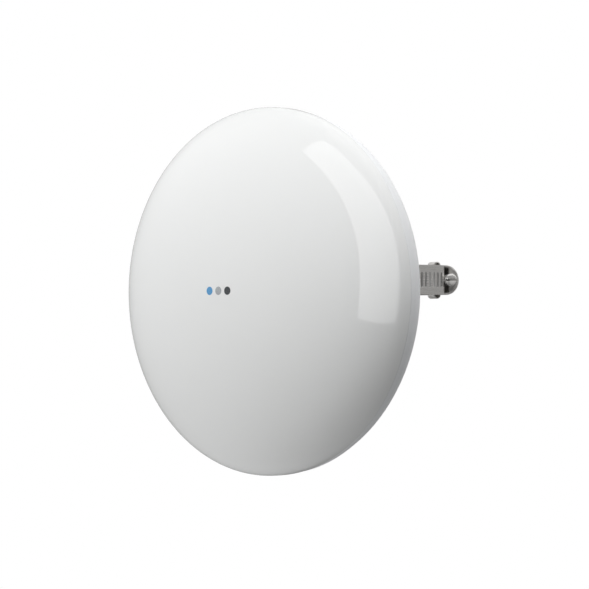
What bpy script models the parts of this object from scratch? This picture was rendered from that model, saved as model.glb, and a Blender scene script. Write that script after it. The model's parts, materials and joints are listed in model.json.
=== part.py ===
"""Outdoor wireless bridge: a dish radio head on a ball joint, strapped to a round pole.

Frame: metres, +Z up. The origin is on the pole's axis, level with the ball joint. The radio head
looks along -Y, and "forward" below is the distance ahead of the pole's axis, which is -y.
"""
import math

import bmesh
import bpy
from mathutils import Matrix, Vector

# ---------------------------------------------------------------- driving dimensions (metres)
FIT = 0.0003                # gap left between pieces that touch

COVER_RADIUS = 0.0945       # radio head across its rim, as a radius
DOME_HEIGHT = 0.0345        # front cover's crown above its rim plane
DOME_FULLNESS = 1.9         # 2 is an ellipse, smaller is more pointed
COVER_WALL = 0.0022
SKIRT_DEPTH = 0.004         # straight band behind the rim plane
RIM_REACH = 0.047           # rim plane ahead of the ball centre
SEAM_GAP = 0.0006           # shadow line between the two covers

SHELL_WALL = 0.0024
BACK_REACH = 0.011          # rear shell's flat back ahead of the ball centre
BACK_INSET = 0.0425         # flat back's edge inside the cover's radius
SIDE_FLATNESS = 1.25        # 1 makes the side an ellipse, larger makes it straighter
BEAD_INSET = 0.0006         # rear shell's bead inside the front cover's radius
BEAD_WIDTH = 0.004
TONGUE_WALL = 0.0032        # rear shell's tongue inside the front cover
TONGUE_FIT = 0.0004
GASKET_SIZE = 0.0012
LEDGE_DEPTH = 0.0018        # ledge that carries the reflector

POLE_DIAMETER = 0.0424      # pole that the bracket fits
STRAP_WIDTH = 0.016
STRAP_THICKNESS = 0.0006
STRAP_HEIGHT = 0.007        # strap's middle above the boresight
STRAP_LAYER_GAP = 0.0005
SLOT_PITCH = 0.003175
SLOT_WIDTH = 0.0014
SLOT_HEIGHT = 0.008

BALL_RADIUS = 0.014
BALL_REACH = 0.0215         # ball centre ahead of the bracket's front face
STEM_RADIUS = 0.006
STEM_FLARE = 0.0025         # stem's foot wider than the stem
SEAT_WALL = 0.003
NECK_WALL = 0.0034
NECK_REACH = 0.005          # neck's end behind the ball centre
NUT_FRONT = 0.007           # nut's front edge ahead of the ball centre
NUT_WALL = 0.0051
NUT_SHELF = 0.002           # nut's floor behind the washer
NUT_SCALLOPS = 8
SCALLOP_RADIUS = 0.0052
SCALLOP_OFFSET = 0.0032     # scallop's centre outside the nut's radius
WASHER_THICKNESS = 0.0012
THREAD_GAP = 0.0004

BRACKET_HEIGHT = 0.040
BRACKET_LOW = -0.013        # bracket's lower end
BRACKET_PLATE = 0.0037      # plate ahead of the strap's slot
BRACKET_HALF_WIDTH = 0.026
BRACKET_FACE_HALF = 0.015
JAW_ANGLE = math.radians(25)  # where each flat jaw touches the pole, off the forward line
WEB_HALF = 0.013            # web that the strap wraps round
STRAP_SLOT = 0.003          # depth of the strap's slot through the bracket
JAW_RELIEF = 0.0022         # groove along the root of the vee, as a half width
JAW_RELIEF_DEPTH = 0.001
JAW_ROOT_WALL = 0.0019      # between that groove and the strap's slot
STRAP_SIDE_ROOM = 0.0008

HOUSING_ANGLE = math.radians(160)  # worm housing's place round the pole, off the forward line
HOUSING_LENGTH = 0.026
HOUSING_WALL = 0.001
HOUSING_GAP = 0.0016        # lower strap layer's middle off the pole, inside the housing
WORM_RADIUS = 0.003
SCREW_HEAD_RADIUS = 0.0035
SCREW_HEAD_DEPTH = 0.003
END_WALL_RISE = 0.0034      # end walls start this far above the strap
SADDLE_WALL = 0.0007
SADDLE_LIP = 0.002          # saddle's sides beyond half the strap
SADDLE_LENGTH = 0.007
SADDLE_SHIFT = -0.0035      # saddle's middle along the worm
SLOT_COUNT = 27
PLAIN_TAIL = 0.006          # strap past its last slot
TAIL_TURN = math.radians(30)  # free tail lies this far round the pole
WEB_TURN = math.radians(72)   # strap leaves the pole for the bracket's web here
HOUSING_TURN = math.radians(65)  # strap leaves the pole this far from the housing's middle
WEB_BEND = 0.0032           # strap's bend round the web
EASE_REACH = 0.6            # smaller turns the strap more sharply at both ends of a crossing

DISH_INSET = 0.0095         # reflector's edge inside the cover's radius
DISH_GAP = 0.0032           # reflector's vertex ahead of the board
DISH_DEPTH = 0.0155
DISH_SHEET = 0.0009
DISH_HOLE = 0.0062
FEED_RADIUS = 0.005
FEED_BORE = 0.0036
FEED_REACH = 0.0225         # feed's tip ahead of the rim plane
SUB_RADIUS = 0.014
SUB_THICKNESS = 0.0022

BOARD_THICKNESS = 0.0016
BOARD_GAP = 0.0025          # board ahead of the ball socket's boss
BOARD_HALF_WIDTH = 0.034
BOARD_TOP = 0.030
BOARD_FOOT = 0.0028         # board's lower edge above the cable bay's ceiling
BOARD_SCREW_X = 0.028
BOARD_SCREW_Z = 0.024
BOARD_SCREW_SHANK = 0.0013
BOARD_SCREW_HOLE = 0.0017
BOARD_SCREW_HEAD = 0.0028
BOSS_RADIUS = 0.0034
CAN_HALF = 0.014            # shield can, half across, its height on the board and its depth
CAN_LOW = 0.009
CAN_HIGH = 0.029
CAN_DEPTH = 0.003
TRANSFORMER_X = -0.018
TRANSFORMER_HALF = 0.006
TRANSFORMER_RISE = 0.0092   # above the board's lower edge
TRANSFORMER_HEIGHT = 0.014
TRANSFORMER_DEPTH = 0.0065

JACK_WIDTH = 0.016
JACK_DEPTH = 0.0135
JACK_LENGTH = 0.0216
JACK_GAP = 0.0021           # jack ahead of the rear shell's inner face
JACK_PORT_HALF = 0.0059     # plug's opening, as a half width
JACK_PORT_DEPTH = 0.0145
JACK_KEY_HALF = 0.003
JACK_KEY_DEPTH = 0.0095
BAY_HALF_WIDTH = 0.016
BAY_INSET = 0.0325          # cable bay's ceiling inside the cover's radius
BAY_ROOM = 0.001            # cable bay's forward wall ahead of the jack
BAY_WALL = 0.002
CABLE_RADIUS = 0.003
GROMMET_RADIUS = 0.0055
GROMMET_LENGTH = 0.0145

LIGHT_X = -0.031
LIGHT_SPACING = 0.008
LIGHT_RADIUS = 0.0015
VENT_SIDE = 0.73            # vent's place on the flat back, as shares of its radius
VENT_RISE = 0.423
VENT_RADIUS = 0.0037
VENT_HEAD = 0.0055
RESET_X = 0.0122
RESET_RADIUS = 0.0016
RESET_TRAVEL = 0.0008
RESET_BEHIND_BOARD = 0.0038
RESET_END = 0.001           # button's end below the bay's ceiling

RING_STEPS = 48
SMALL_STEPS = 28

# ---------------------------------------------------------------- sizes worked out from them
POLE_RADIUS = POLE_DIAMETER / 2
BACK_RADIUS = COVER_RADIUS - BACK_INSET
DISH_RADIUS = COVER_RADIUS - DISH_INSET
BAY_TOP = BAY_INSET - COVER_RADIUS
BOARD_BOTTOM = BAY_TOP + BOARD_FOOT
VENT_X = VENT_SIDE * BACK_RADIUS
VENT_Z = VENT_RISE * BACK_RADIUS
JAW_ROOT = POLE_RADIUS / math.cos(JAW_ANGLE)
STRAP_SLOT_REAR = JAW_ROOT + JAW_RELIEF_DEPTH + JAW_ROOT_WALL
STRAP_SLOT_FRONT = STRAP_SLOT_REAR + STRAP_SLOT
BRACKET_FRONT = STRAP_SLOT_FRONT + BRACKET_PLATE
BALL_FORWARD = BRACKET_FRONT + BALL_REACH
BACK_FORWARD = BALL_FORWARD + BACK_REACH
RIM_FORWARD = BALL_FORWARD + RIM_REACH
SKIRT_END = RIM_FORWARD - SKIRT_DEPTH
BEAD_TOP = SKIRT_END - SEAM_GAP
BEAD_RADIUS = COVER_RADIUS - BEAD_INSET
BEAD_END = BEAD_TOP - BEAD_WIDTH
CURVE_RADIUS = BEAD_RADIUS - BEAD_INSET
TONGUE_RADIUS = COVER_RADIUS - COVER_WALL - TONGUE_FIT
TONGUE_INNER = TONGUE_RADIUS - TONGUE_WALL
LEDGE_TOP = BEAD_TOP - 0.0008
SOCKET_RADIUS = BALL_RADIUS + SEAT_WALL + 2 * FIT
NECK_RADIUS = SOCKET_RADIUS + NECK_WALL
NUT_BORE = NECK_RADIUS + THREAD_GAP
NUT_RADIUS = NUT_BORE + NUT_WALL
SEAT_SPHERE = BALL_RADIUS + FIT
SEAT_OUTER = SOCKET_RADIUS - FIT
MOUTH_ANGLE = math.radians(55.5)
SEAT_REAR = SEAT_SPHERE * math.cos(MOUTH_ANGLE)
NUT_SHOULDER = SEAT_REAR + WASHER_THICKNESS + 2 * FIT
NUT_BACK = NUT_SHOULDER + NUT_SHELF
STRAP_LOW = STRAP_HEIGHT - STRAP_WIDTH / 2
STRAP_HIGH = STRAP_HEIGHT + STRAP_WIDTH / 2
STRAP_RADIUS = POLE_RADIUS + FIT + STRAP_THICKNESS / 2
LAYER_STEP = STRAP_THICKNESS + STRAP_LAYER_GAP
HOUSING_STANDOFF = POLE_RADIUS + HOUSING_GAP
UPPER_STANDOFF = HOUSING_STANDOFF + LAYER_STEP
STRAP_TOP = UPPER_STANDOFF + STRAP_THICKNESS / 2
WORM_STANDOFF = STRAP_TOP + FIT + WORM_RADIUS
INNER_BACK = BACK_FORWARD + SHELL_WALL
BOARD_FORWARD = BALL_FORWARD + SOCKET_RADIUS + SHELL_WALL + BOARD_GAP
BOARD_FRONT = BOARD_FORWARD + BOARD_THICKNESS
DISH_VERTEX = BOARD_FRONT + DISH_GAP
FEED_TIP = RIM_FORWARD + FEED_REACH
JACK_BOTTOM = BAY_TOP + 0.0004
JACK_REAR = INNER_BACK + JACK_GAP
JACK_MIDDLE = JACK_REAR + JACK_DEPTH / 2
BAY_FLOOR = JACK_REAR + JACK_DEPTH + BAY_ROOM
SADDLE_HALF = STRAP_WIDTH / 2 + SADDLE_LIP
RESET_FORWARD = BOARD_FORWARD - RESET_BEHIND_BOARD

BALL_CENTRE = Vector((0, -BALL_FORWARD, 0))
ACROSS = Vector((math.sin(HOUSING_ANGLE), -math.cos(HOUSING_ANGLE), 0))   # out of the housing
ALONG = Vector((math.cos(HOUSING_ANGLE), math.sin(HOUSING_ANGLE), 0))     # along the worm screw


# ---------------------------------------------------------------- scene, collections, materials
def clear_scene():
    for item in list(bpy.data.objects):
        bpy.data.objects.remove(item, do_unlink=True)


def new_collection(name):
    group = bpy.data.collections.new(name)
    bpy.context.scene.collection.children.link(group)
    return group


clear_scene()
PARTS = new_collection("outdoor_wireless_bridge")
CUTTERS = new_collection("cutters")
MATERIALS = {}


def finish(name, colour=None, roughness=0.5, metallic=0.0):
    """The named material, made the first time it is asked for."""
    if name not in MATERIALS:
        made = bpy.data.materials.new(name)
        made.use_nodes = True
        surface = made.node_tree.nodes["Principled BSDF"]
        surface.inputs["Base Color"].default_value = (*colour, 1.0)
        surface.inputs["Roughness"].default_value = roughness
        surface.inputs["Metallic"].default_value = metallic
        MATERIALS[name] = made
    return MATERIALS[name]


def make_materials():
    finish("gloss_white_plastic", (0.86, 0.87, 0.88), 0.22)
    finish("satin_white_plastic", (0.78, 0.79, 0.80), 0.38)
    finish("grey_plastic", (0.42, 0.43, 0.44), 0.5)
    finish("black_rubber", (0.03, 0.03, 0.03), 0.75)
    finish("acetal", (0.10, 0.10, 0.11), 0.42)
    finish("steel", (0.68, 0.69, 0.70), 0.28, 1.0)
    finish("aluminium", (0.80, 0.81, 0.82), 0.35, 1.0)
    finish("circuit_board", (0.02, 0.16, 0.07), 0.45)
    finish("tin_plate", (0.62, 0.63, 0.64), 0.3, 1.0)
    finish("clear_lens", (0.85, 0.92, 0.90), 0.1)
    finish("ferrite", (0.08, 0.07, 0.06), 0.6)


# ---------------------------------------------------------------- shape helpers
def link(name, mesh, material, group=None):
    item = bpy.data.objects.new(name, mesh)
    (group or PARTS).objects.link(item)
    if material:
        mesh.materials.append(finish(material))
    return item


def hide_cutter(item):
    item.hide_render = True
    item.display_type = "WIRE"
    return item


def turned(name, profile, material=None, steps=SMALL_STEPS, closed=False, axis="forward",
           place=(0, 0, 0)):
    """A profile of (radius, distance) points, spun about the forward or the vertical axis."""
    mesh = bpy.data.meshes.new(name)
    points = [(radius, 0, distance) for radius, distance in profile]
    edges = [(i, i + 1) for i in range(len(points) - 1)]
    if closed:
        edges.append((len(points) - 1, 0))
    mesh.from_pydata(points, edges, [])
    item = link(name, mesh, material, PARTS if material else CUTTERS)
    item.location = place
    if axis == "forward":
        item.rotation_euler = (math.pi / 2, 0, 0)
    spin = item.modifiers.new("Turn", "SCREW")
    spin.axis = "Z"
    spin.steps = steps
    spin.render_steps = steps
    spin.use_merge_vertices = True
    spin.merge_threshold = 0.00001
    spin.use_smooth_shade = True
    return item if material else hide_cutter(item)


def block(name, low, high, material=None):
    """A box between two world corners; its origin is its centre."""
    low, high = Vector(low), Vector(high)
    mesh = bpy.data.meshes.new(name)
    cage = bmesh.new()
    bmesh.ops.create_cube(cage, size=1.0, matrix=Matrix.Diagonal((*(high - low), 1.0)))
    cage.to_mesh(mesh)
    cage.free()
    item = link(name, mesh, material, PARTS if material else CUTTERS)
    item.location = (low + high) / 2
    return item if material else hide_cutter(item)


def ahead_block(name, half_width, rear, front, low, high, material=None, middle=0.0):
    """A box given by its forward distances instead of by y."""
    return block(name, (middle - half_width, -front, low), (middle + half_width, -rear, high),
                 material)


def prism(name, outline, thickness, material, matrix=Matrix()):
    """A flat outline as a filled curve, made a mesh so that it can be cut."""
    curve = bpy.data.curves.new(name, "CURVE")
    curve.dimensions = "2D"
    curve.fill_mode = "BOTH"
    curve.extrude = thickness / 2
    for loop in outline:
        spline = curve.splines.new("POLY")
        spline.points.add(len(loop) - 1)
        for point, (u, v) in zip(spline.points, loop):
            point.co = (u, v, 0, 1)
        spline.use_cyclic_u = True
    flat = bpy.data.objects.new(name + "_outline", curve)
    PARTS.objects.link(flat)
    flat.matrix_world = matrix
    bpy.context.view_layer.update()
    depsgraph = bpy.context.evaluated_depsgraph_get()
    mesh = bpy.data.meshes.new_from_object(flat.evaluated_get(depsgraph))
    cage = bmesh.new()
    cage.from_mesh(mesh)
    bmesh.ops.remove_doubles(cage, verts=cage.verts, dist=0.000001)
    cage.to_mesh(mesh)
    cage.free()
    mesh.name = name
    mesh.materials.clear()
    item = link(name, mesh, material, PARTS if material else CUTTERS)
    item.matrix_world = matrix
    bpy.data.objects.remove(flat, do_unlink=True)
    return item if material else hide_cutter(item)


def combine(item, tool, operation="DIFFERENCE"):
    change = item.modifiers.new(tool.name, "BOOLEAN")
    change.operation = operation
    change.solver = "EXACT"
    change.object = tool
    return item


def bevel(item, width, segments=2):
    edge = item.modifiers.new("Edges", "BEVEL")
    edge.width = width
    edge.segments = segments
    edge.limit_method = "ANGLE"
    edge.angle_limit = math.radians(40)
    return item


def pivot(name, place):
    axis = bpy.data.objects.new(name, None)
    axis.empty_display_size = 0.02
    axis.location = place
    PARTS.objects.link(axis)
    bpy.context.view_layer.update()
    return axis


def hang(items, axis):
    """Parent the items to an empty without moving them."""
    bpy.context.view_layer.update()
    for item in items:
        item.parent = axis
        item.matrix_parent_inverse = axis.matrix_world.inverted()


def arc(centre, radius, start, end, count, radius_2=None):
    """Points on an arc or an ellipse, angles in degrees from the first axis."""
    other = radius if radius_2 is None else radius_2
    points = []
    for i in range(count + 1):
        angle = math.radians(start + (end - start) * i / count)
        points.append((centre[0] + radius * math.cos(angle), centre[1] + other * math.sin(angle)))
    return points


# ---------------------------------------------------------------- radio head covers
def dome_profile(count=11):
    """Crown of the front cover, from its middle out to the rim plane."""
    points = []
    for i in range(count + 1):
        angle = math.pi / 2 * i / count
        rise = DOME_HEIGHT * max(math.cos(angle), 0.0) ** (2 / DOME_FULLNESS)
        points.append((COVER_RADIUS * math.sin(angle), RIM_FORWARD + rise))
    return points


def radome_cover():
    cover = turned("radome_cover", dome_profile() + [(COVER_RADIUS, SKIRT_END)],
                   "gloss_white_plastic", RING_STEPS)
    wall = cover.modifiers.new("Wall", "SOLIDIFY")
    wall.thickness = COVER_WALL
    wall.offset = -1.0
    wall.use_even_offset = True
    return cover


def side_curve(inset, count=7):
    """Side of the rear shell, from its bead round to the flat back."""
    across = CURVE_RADIUS - BACK_RADIUS - inset
    deep = BEAD_END - BACK_FORWARD - inset
    points = []
    for i in range(count + 1):
        angle = math.pi / 2 * i / count
        points.append((BACK_RADIUS + across * max(math.cos(angle), 0.0) ** SIDE_FLATNESS,
                       BEAD_END - deep * math.sin(angle) ** SIDE_FLATNESS))
    return points


def rear_shell():
    boss = SOCKET_RADIUS + SHELL_WALL
    boss_foot = math.degrees(math.asin((INNER_BACK - BALL_FORWARD) / boss))
    groove_depth = GASKET_SIZE + FIT - TONGUE_FIT + FIT
    groove_front = SKIRT_END + 0.0024
    groove_rear = groove_front - GASKET_SIZE - 2 * FIT
    tongue_top = RIM_FORWARD - 0.0005
    profile = arc((0, BALL_FORWARD), boss, 90, boss_foot, 4)
    profile += list(reversed(side_curve(SHELL_WALL)))
    profile += [(TONGUE_INNER - LEDGE_DEPTH, LEDGE_TOP - 0.0016),
                (TONGUE_INNER - LEDGE_DEPTH, LEDGE_TOP),
                (TONGUE_INNER, LEDGE_TOP),
                (TONGUE_INNER, tongue_top),
                (TONGUE_RADIUS, tongue_top),
                (TONGUE_RADIUS, groove_front),
                (TONGUE_RADIUS - groove_depth, groove_front),
                (TONGUE_RADIUS - groove_depth, groove_rear),
                (TONGUE_RADIUS, groove_rear),
                (TONGUE_RADIUS, BEAD_TOP),
                (BEAD_RADIUS - BEAD_INSET, BEAD_TOP),
                (BEAD_RADIUS, BEAD_TOP - BEAD_INSET),
                (BEAD_RADIUS, BEAD_END + BEAD_INSET)]
    profile += side_curve(0)
    profile += [(NECK_RADIUS + 0.0015, BACK_FORWARD),
                (NECK_RADIUS, BACK_FORWARD - 0.0015),
                (NECK_RADIUS, BALL_FORWARD - NECK_REACH),
                (SOCKET_RADIUS, BALL_FORWARD - NECK_REACH)]
    profile += arc((0, BALL_FORWARD), SOCKET_RADIUS, 0, 90, 6)
    profile[0] = (0, profile[0][1])
    profile[-1] = (0, profile[-1][1])
    shell = turned("rear_shell", profile, "satin_white_plastic", RING_STEPS)
    combine(shell, bay_walls(), "UNION")
    for boss_item in board_bosses():
        combine(shell, boss_item, "UNION")
    combine(shell, ahead_block("bay_cut", BAY_HALF_WIDTH, BACK_FORWARD - 0.01, BAY_FLOOR,
                               -COVER_RADIUS - 0.01, BAY_TOP))
    combine(shell, ahead_block("jack_hole", JACK_WIDTH / 2 + FIT, JACK_REAR - FIT,
                               JACK_REAR + JACK_DEPTH + FIT, BAY_TOP - 0.001,
                               BAY_TOP + BAY_WALL + 0.001))
    combine(shell, rod("reset_hole", RESET_RADIUS + FIT, 3 * BAY_WALL,
                       (RESET_X, -RESET_FORWARD, BAY_TOP + BAY_WALL / 2), axis="up"))
    for number, height in enumerate(light_heights(), 1):
        combine(shell, rod(f"light_hole_{number}", LIGHT_RADIUS + FIT, 3 * SHELL_WALL,
                           (LIGHT_X, -BACK_FORWARD - SHELL_WALL / 2, height)))
    combine(shell, rod("vent_hole", VENT_RADIUS + FIT, 3 * SHELL_WALL,
                       (VENT_X, -BACK_FORWARD - SHELL_WALL / 2, VENT_Z)))
    for number, (x, z) in enumerate(board_corners(), 1):
        pilot_rear = INNER_BACK + 0.001
        combine(shell, rod(f"pilot_{number}", BOARD_SCREW_HOLE, BOARD_FORWARD - pilot_rear,
                           (x, -(BOARD_FORWARD + pilot_rear) / 2, z), steps=10))
    return shell


def rod(name, radius, length, place, axis="forward", material=None, steps=16):
    """A cylinder about the forward or the vertical axis, centred on its place."""
    mesh = bpy.data.meshes.new(name)
    cage = bmesh.new()
    bmesh.ops.create_cone(cage, cap_ends=True, segments=steps, radius1=radius, radius2=radius,
                          depth=length)
    cage.to_mesh(mesh)
    cage.free()
    mesh.shade_smooth()
    mesh.set_sharp_from_angle(angle=math.radians(40))
    item = link(name, mesh, material, PARTS if material else CUTTERS)
    item.location = place
    if axis == "forward":
        item.rotation_euler = (math.pi / 2, 0, 0)
    return item if material else hide_cutter(item)


def bay_walls():
    """Walls round the cable bay, cut to the middle of the shell's own wall."""
    walls = ahead_block("bay_walls", BAY_HALF_WIDTH + BAY_WALL, BACK_FORWARD - 0.005,
                        BAY_FLOOR + BAY_WALL, -COVER_RADIUS - 0.005, BAY_TOP + BAY_WALL)
    limit_profile = [(0, BEAD_END)] + side_curve(SHELL_WALL / 2)
    limit_profile += [(0, BACK_FORWARD + SHELL_WALL / 2)]
    limit = turned("bay_limit", limit_profile, None, RING_STEPS)
    return combine(walls, limit, "INTERSECT")


def board_corners():
    return [(x, z) for x in (-BOARD_SCREW_X, BOARD_SCREW_X) for z in (-BOARD_SCREW_Z, BOARD_SCREW_Z)]


def board_bosses():
    rear = INNER_BACK - SHELL_WALL / 2
    front = BOARD_FORWARD - FIT
    return [rod(f"boss_{number}", BOSS_RADIUS, front - rear, (x, -(front + rear) / 2, z), steps=12)
            for number, (x, z) in enumerate(board_corners(), 1)]


def light_heights():
    return [-LIGHT_SPACING, 0.0, LIGHT_SPACING]


def rim_gasket():
    outer = TONGUE_RADIUS + TONGUE_FIT - FIT
    front = SKIRT_END + 0.0024 - FIT
    ring = [(outer - GASKET_SIZE, front), (outer, front),
            (outer, front - GASKET_SIZE), (outer - GASKET_SIZE, front - GASKET_SIZE)]
    return turned("rim_gasket", ring, "black_rubber", RING_STEPS, closed=True)


def vent_plug():
    rear = BACK_FORWARD - FIT
    profile = [(0, INNER_BACK + 0.001), (VENT_RADIUS, INNER_BACK + 0.001),
               (VENT_RADIUS, rear), (VENT_HEAD, rear),
               (VENT_HEAD, rear - 0.001), (VENT_HEAD - 0.0006, rear - 0.0016), (0, rear - 0.0016)]
    return turned("vent_plug", profile, "grey_plastic", 20, place=(VENT_X, 0, VENT_Z))


# ---------------------------------------------------------------- cable bay
def port_cover():
    """The part of the shell's own surface that closes the bay, with a hole for the cable."""
    wall = SHELL_WALL
    inner_edge = -BAY_TOP - 0.004
    outer_side = side_curve(0)
    inner_side = side_curve(wall)
    profile = outer_side + [(inner_edge, BACK_FORWARD), (inner_edge, INNER_BACK)]
    profile += list(reversed(inner_side))
    cover = turned("port_cover", profile, "satin_white_plastic", RING_STEPS, closed=True)
    combine(cover, ahead_block("port_cover_limit", BAY_HALF_WIDTH - FIT, BACK_FORWARD - 0.01,
                               BAY_FLOOR - FIT, -COVER_RADIUS - 0.01, BAY_TOP - FIT), "INTERSECT")
    combine(cover, rod("cable_hole", GROMMET_RADIUS + FIT, 0.06,
                       (0, -JACK_MIDDLE, -COVER_RADIUS), axis="up", steps=20))
    return cover


def shell_radius_at(forward):
    """Outer radius of the rear shell's side curve at a forward distance."""
    rise = ((BEAD_END - forward) / (BEAD_END - BACK_FORWARD)) ** (1 / SIDE_FLATNESS)
    reach = max(1 - rise * rise, 0.0) ** (SIDE_FLATNESS / 2)
    return BACK_RADIUS + (CURVE_RADIUS - BACK_RADIUS) * reach


def cable_grommet():
    middle = -shell_radius_at(JACK_MIDDLE)
    top = middle + GROMMET_LENGTH / 2
    bottom = middle - GROMMET_LENGTH / 2
    ring = [(CABLE_RADIUS, top), (GROMMET_RADIUS, top), (GROMMET_RADIUS, bottom + 0.002),
            (GROMMET_RADIUS - 0.001, bottom), (CABLE_RADIUS, bottom)]
    return turned("cable_grommet", ring, "black_rubber", 20, closed=True, axis="up",
                  place=(0, -JACK_MIDDLE, 0))


def ethernet_jack():
    bottom = JACK_BOTTOM
    jack = ahead_block("ethernet_jack", JACK_WIDTH / 2, JACK_REAR, JACK_REAR + JACK_DEPTH,
                       bottom, bottom + JACK_LENGTH, "tin_plate")
    combine(jack, ahead_block("jack_socket", JACK_PORT_HALF, JACK_REAR + 0.0022,
                              JACK_REAR + 0.0104, bottom - 0.001, bottom + JACK_PORT_DEPTH))
    combine(jack, ahead_block("jack_key", JACK_KEY_HALF, JACK_REAR + 0.0094, JACK_REAR + 0.0122,
                              bottom - 0.001, bottom + JACK_KEY_DEPTH))
    return jack


def reset_parts():
    """The button through the bay's ceiling, and the switch above it on the board."""
    ceiling = BAY_TOP + BAY_WALL
    flange_low = ceiling + FIT
    flange_high = flange_low + 0.0008
    top = flange_high + 0.002
    profile = [(0, top), (RESET_RADIUS, top), (RESET_RADIUS, flange_high),
               (RESET_RADIUS + 0.0008, flange_high), (RESET_RADIUS + 0.0008, flange_low),
               (RESET_RADIUS, flange_low), (RESET_RADIUS, BAY_TOP - RESET_END),
               (0, BAY_TOP - RESET_END)]
    button = turned("reset_button", profile, "grey_plastic", 16, axis="up",
                    place=(RESET_X, -RESET_FORWARD, 0))
    plunger = top + RESET_TRAVEL + FIT
    switch = ahead_block("reset_switch", 0.0025, RESET_FORWARD - 0.0025, BOARD_FORWARD - FIT,
                         plunger, plunger + 0.005, "grey_plastic", middle=RESET_X)
    return button, switch


# ---------------------------------------------------------------- antenna and electronics
def dish_rise(radius):
    return DISH_DEPTH * (radius / DISH_RADIUS) ** 2


def reflector_dish():
    count = 7
    front = []
    for i in range(count + 1):
        radius = DISH_HOLE + (DISH_RADIUS - DISH_HOLE) * i / count
        front.append((radius, DISH_VERTEX + dish_rise(radius)))
    seat = LEDGE_TOP + FIT
    flange = TONGUE_INNER - FIT
    lip = DISH_VERTEX + dish_rise(DISH_RADIUS)
    profile = front + [(flange, lip), (flange, seat), (DISH_RADIUS, seat)]
    profile += [(radius, distance - DISH_SHEET) for radius, distance in reversed(front[:-1])]
    return turned("reflector_dish", profile, "aluminium", 36, closed=True)


def feed_parts():
    foot = BOARD_FRONT + FIT
    tube = turned("feed_tube", [(FEED_BORE, FEED_TIP), (FEED_RADIUS, FEED_TIP),
                                (FEED_RADIUS, foot), (FEED_BORE, foot)],
                  "satin_white_plastic", 24, closed=True)
    low = FEED_TIP + FIT
    cone = [(0, low + SUB_THICKNESS), (SUB_RADIUS, low + SUB_THICKNESS), (SUB_RADIUS, low + 0.0008),
            (0.4 * SUB_RADIUS, low), (0, low)]
    sub = turned("sub_reflector", cone, "aluminium", 24)
    return tube, sub


def main_board():
    board = ahead_block("main_board", BOARD_HALF_WIDTH, BOARD_FORWARD, BOARD_FRONT, BOARD_BOTTOM,
                        BOARD_TOP, "circuit_board")
    combine(board, ahead_block("board_notch", JACK_WIDTH / 2 + FIT, BOARD_FORWARD - 0.001,
                               BOARD_FRONT + 0.001, BOARD_BOTTOM - 0.001,
                               JACK_BOTTOM + JACK_LENGTH + FIT))
    for number, (x, z) in enumerate(board_corners(), 1):
        combine(board, rod(f"board_hole_{number}", BOARD_SCREW_HOLE, 3 * BOARD_THICKNESS,
                           (x, -BOARD_FORWARD, z), steps=10))
    return board


def board_screws():
    screws = []
    seat = BOARD_FRONT + FIT
    tip = INNER_BACK + 0.0025
    profile = [(0, seat + 0.0016), (BOARD_SCREW_HEAD - 0.0005, seat + 0.0016),
               (BOARD_SCREW_HEAD, seat + 0.001), (BOARD_SCREW_HEAD, seat),
               (BOARD_SCREW_SHANK, seat), (BOARD_SCREW_SHANK, tip + 0.0008), (0, tip)]
    for number, (x, z) in enumerate(board_corners(), 1):
        screws.append(turned(f"board_screw_{number}", profile, "steel", 12, place=(x, 0, z)))
    return screws


def board_parts():
    rear = BOARD_FORWARD - FIT
    can = ahead_block("rf_shield_can", CAN_HALF, rear - CAN_DEPTH, rear, CAN_LOW, CAN_HIGH,
                      "tin_plate")
    bevel(can, 0.0005, 1)
    foot = BOARD_BOTTOM + TRANSFORMER_RISE
    transformer = ahead_block("poe_transformer", TRANSFORMER_HALF, rear - TRANSFORMER_DEPTH, rear,
                              foot, foot + TRANSFORMER_HEIGHT, "ferrite", middle=TRANSFORMER_X)
    bevel(transformer, 0.0006, 1)
    made = [can, transformer]
    for number, height in enumerate(light_heights(), 1):
        lamp_rear = rear - 0.0008
        made.append(ahead_block(f"status_led_{number}", 0.0008, lamp_rear, rear, height - 0.0008,
                                height + 0.0008, "clear_lens", middle=LIGHT_X))
        pipe_front = lamp_rear - FIT
        pipe_rear = BACK_FORWARD - 0.0002
        made.append(rod(f"light_pipe_{number}", LIGHT_RADIUS, pipe_front - pipe_rear,
                        (LIGHT_X, -(pipe_front + pipe_rear) / 2, height), material="clear_lens",
                        steps=14))
    return made


# ---------------------------------------------------------------- ball joint
def seat_front():
    """Cup between the ball and the socket; both faces are spheres about the ball centre."""
    edge = math.degrees(MOUTH_ANGLE) + 6
    outer = arc((0, BALL_FORWARD), SEAT_OUTER, 90, 90 - edge, 6)
    inner = arc((0, BALL_FORWARD), SEAT_SPHERE, 90 - edge, 90, 6)
    outer[0] = (0, outer[0][1])
    inner[-1] = (0, inner[-1][1])
    return turned("ball_seat_front", outer + inner, "acetal")


def seat_rear():
    """Ring behind the ball, pressed forward by the nut through the washer."""
    front = SEAT_SPHERE * math.cos(math.radians(84))
    mouth = math.degrees(MOUTH_ANGLE)
    outer = [(SEAT_OUTER, BALL_FORWARD + front), (SEAT_OUTER, BALL_FORWARD - SEAT_REAR)]
    inner = arc((0, BALL_FORWARD), SEAT_SPHERE, mouth - 90, 6, 6)
    return turned("ball_seat_rear", outer + inner, "acetal", closed=True)


def slip_washer():
    rear = BALL_FORWARD - SEAT_REAR - FIT
    inner = SEAT_OUTER - 0.0036
    ring = [(inner, rear), (SEAT_OUTER, rear), (SEAT_OUTER, rear - WASHER_THICKNESS),
            (inner, rear - WASHER_THICKNESS)]
    return turned("slip_washer", ring, "steel", closed=True)


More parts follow.
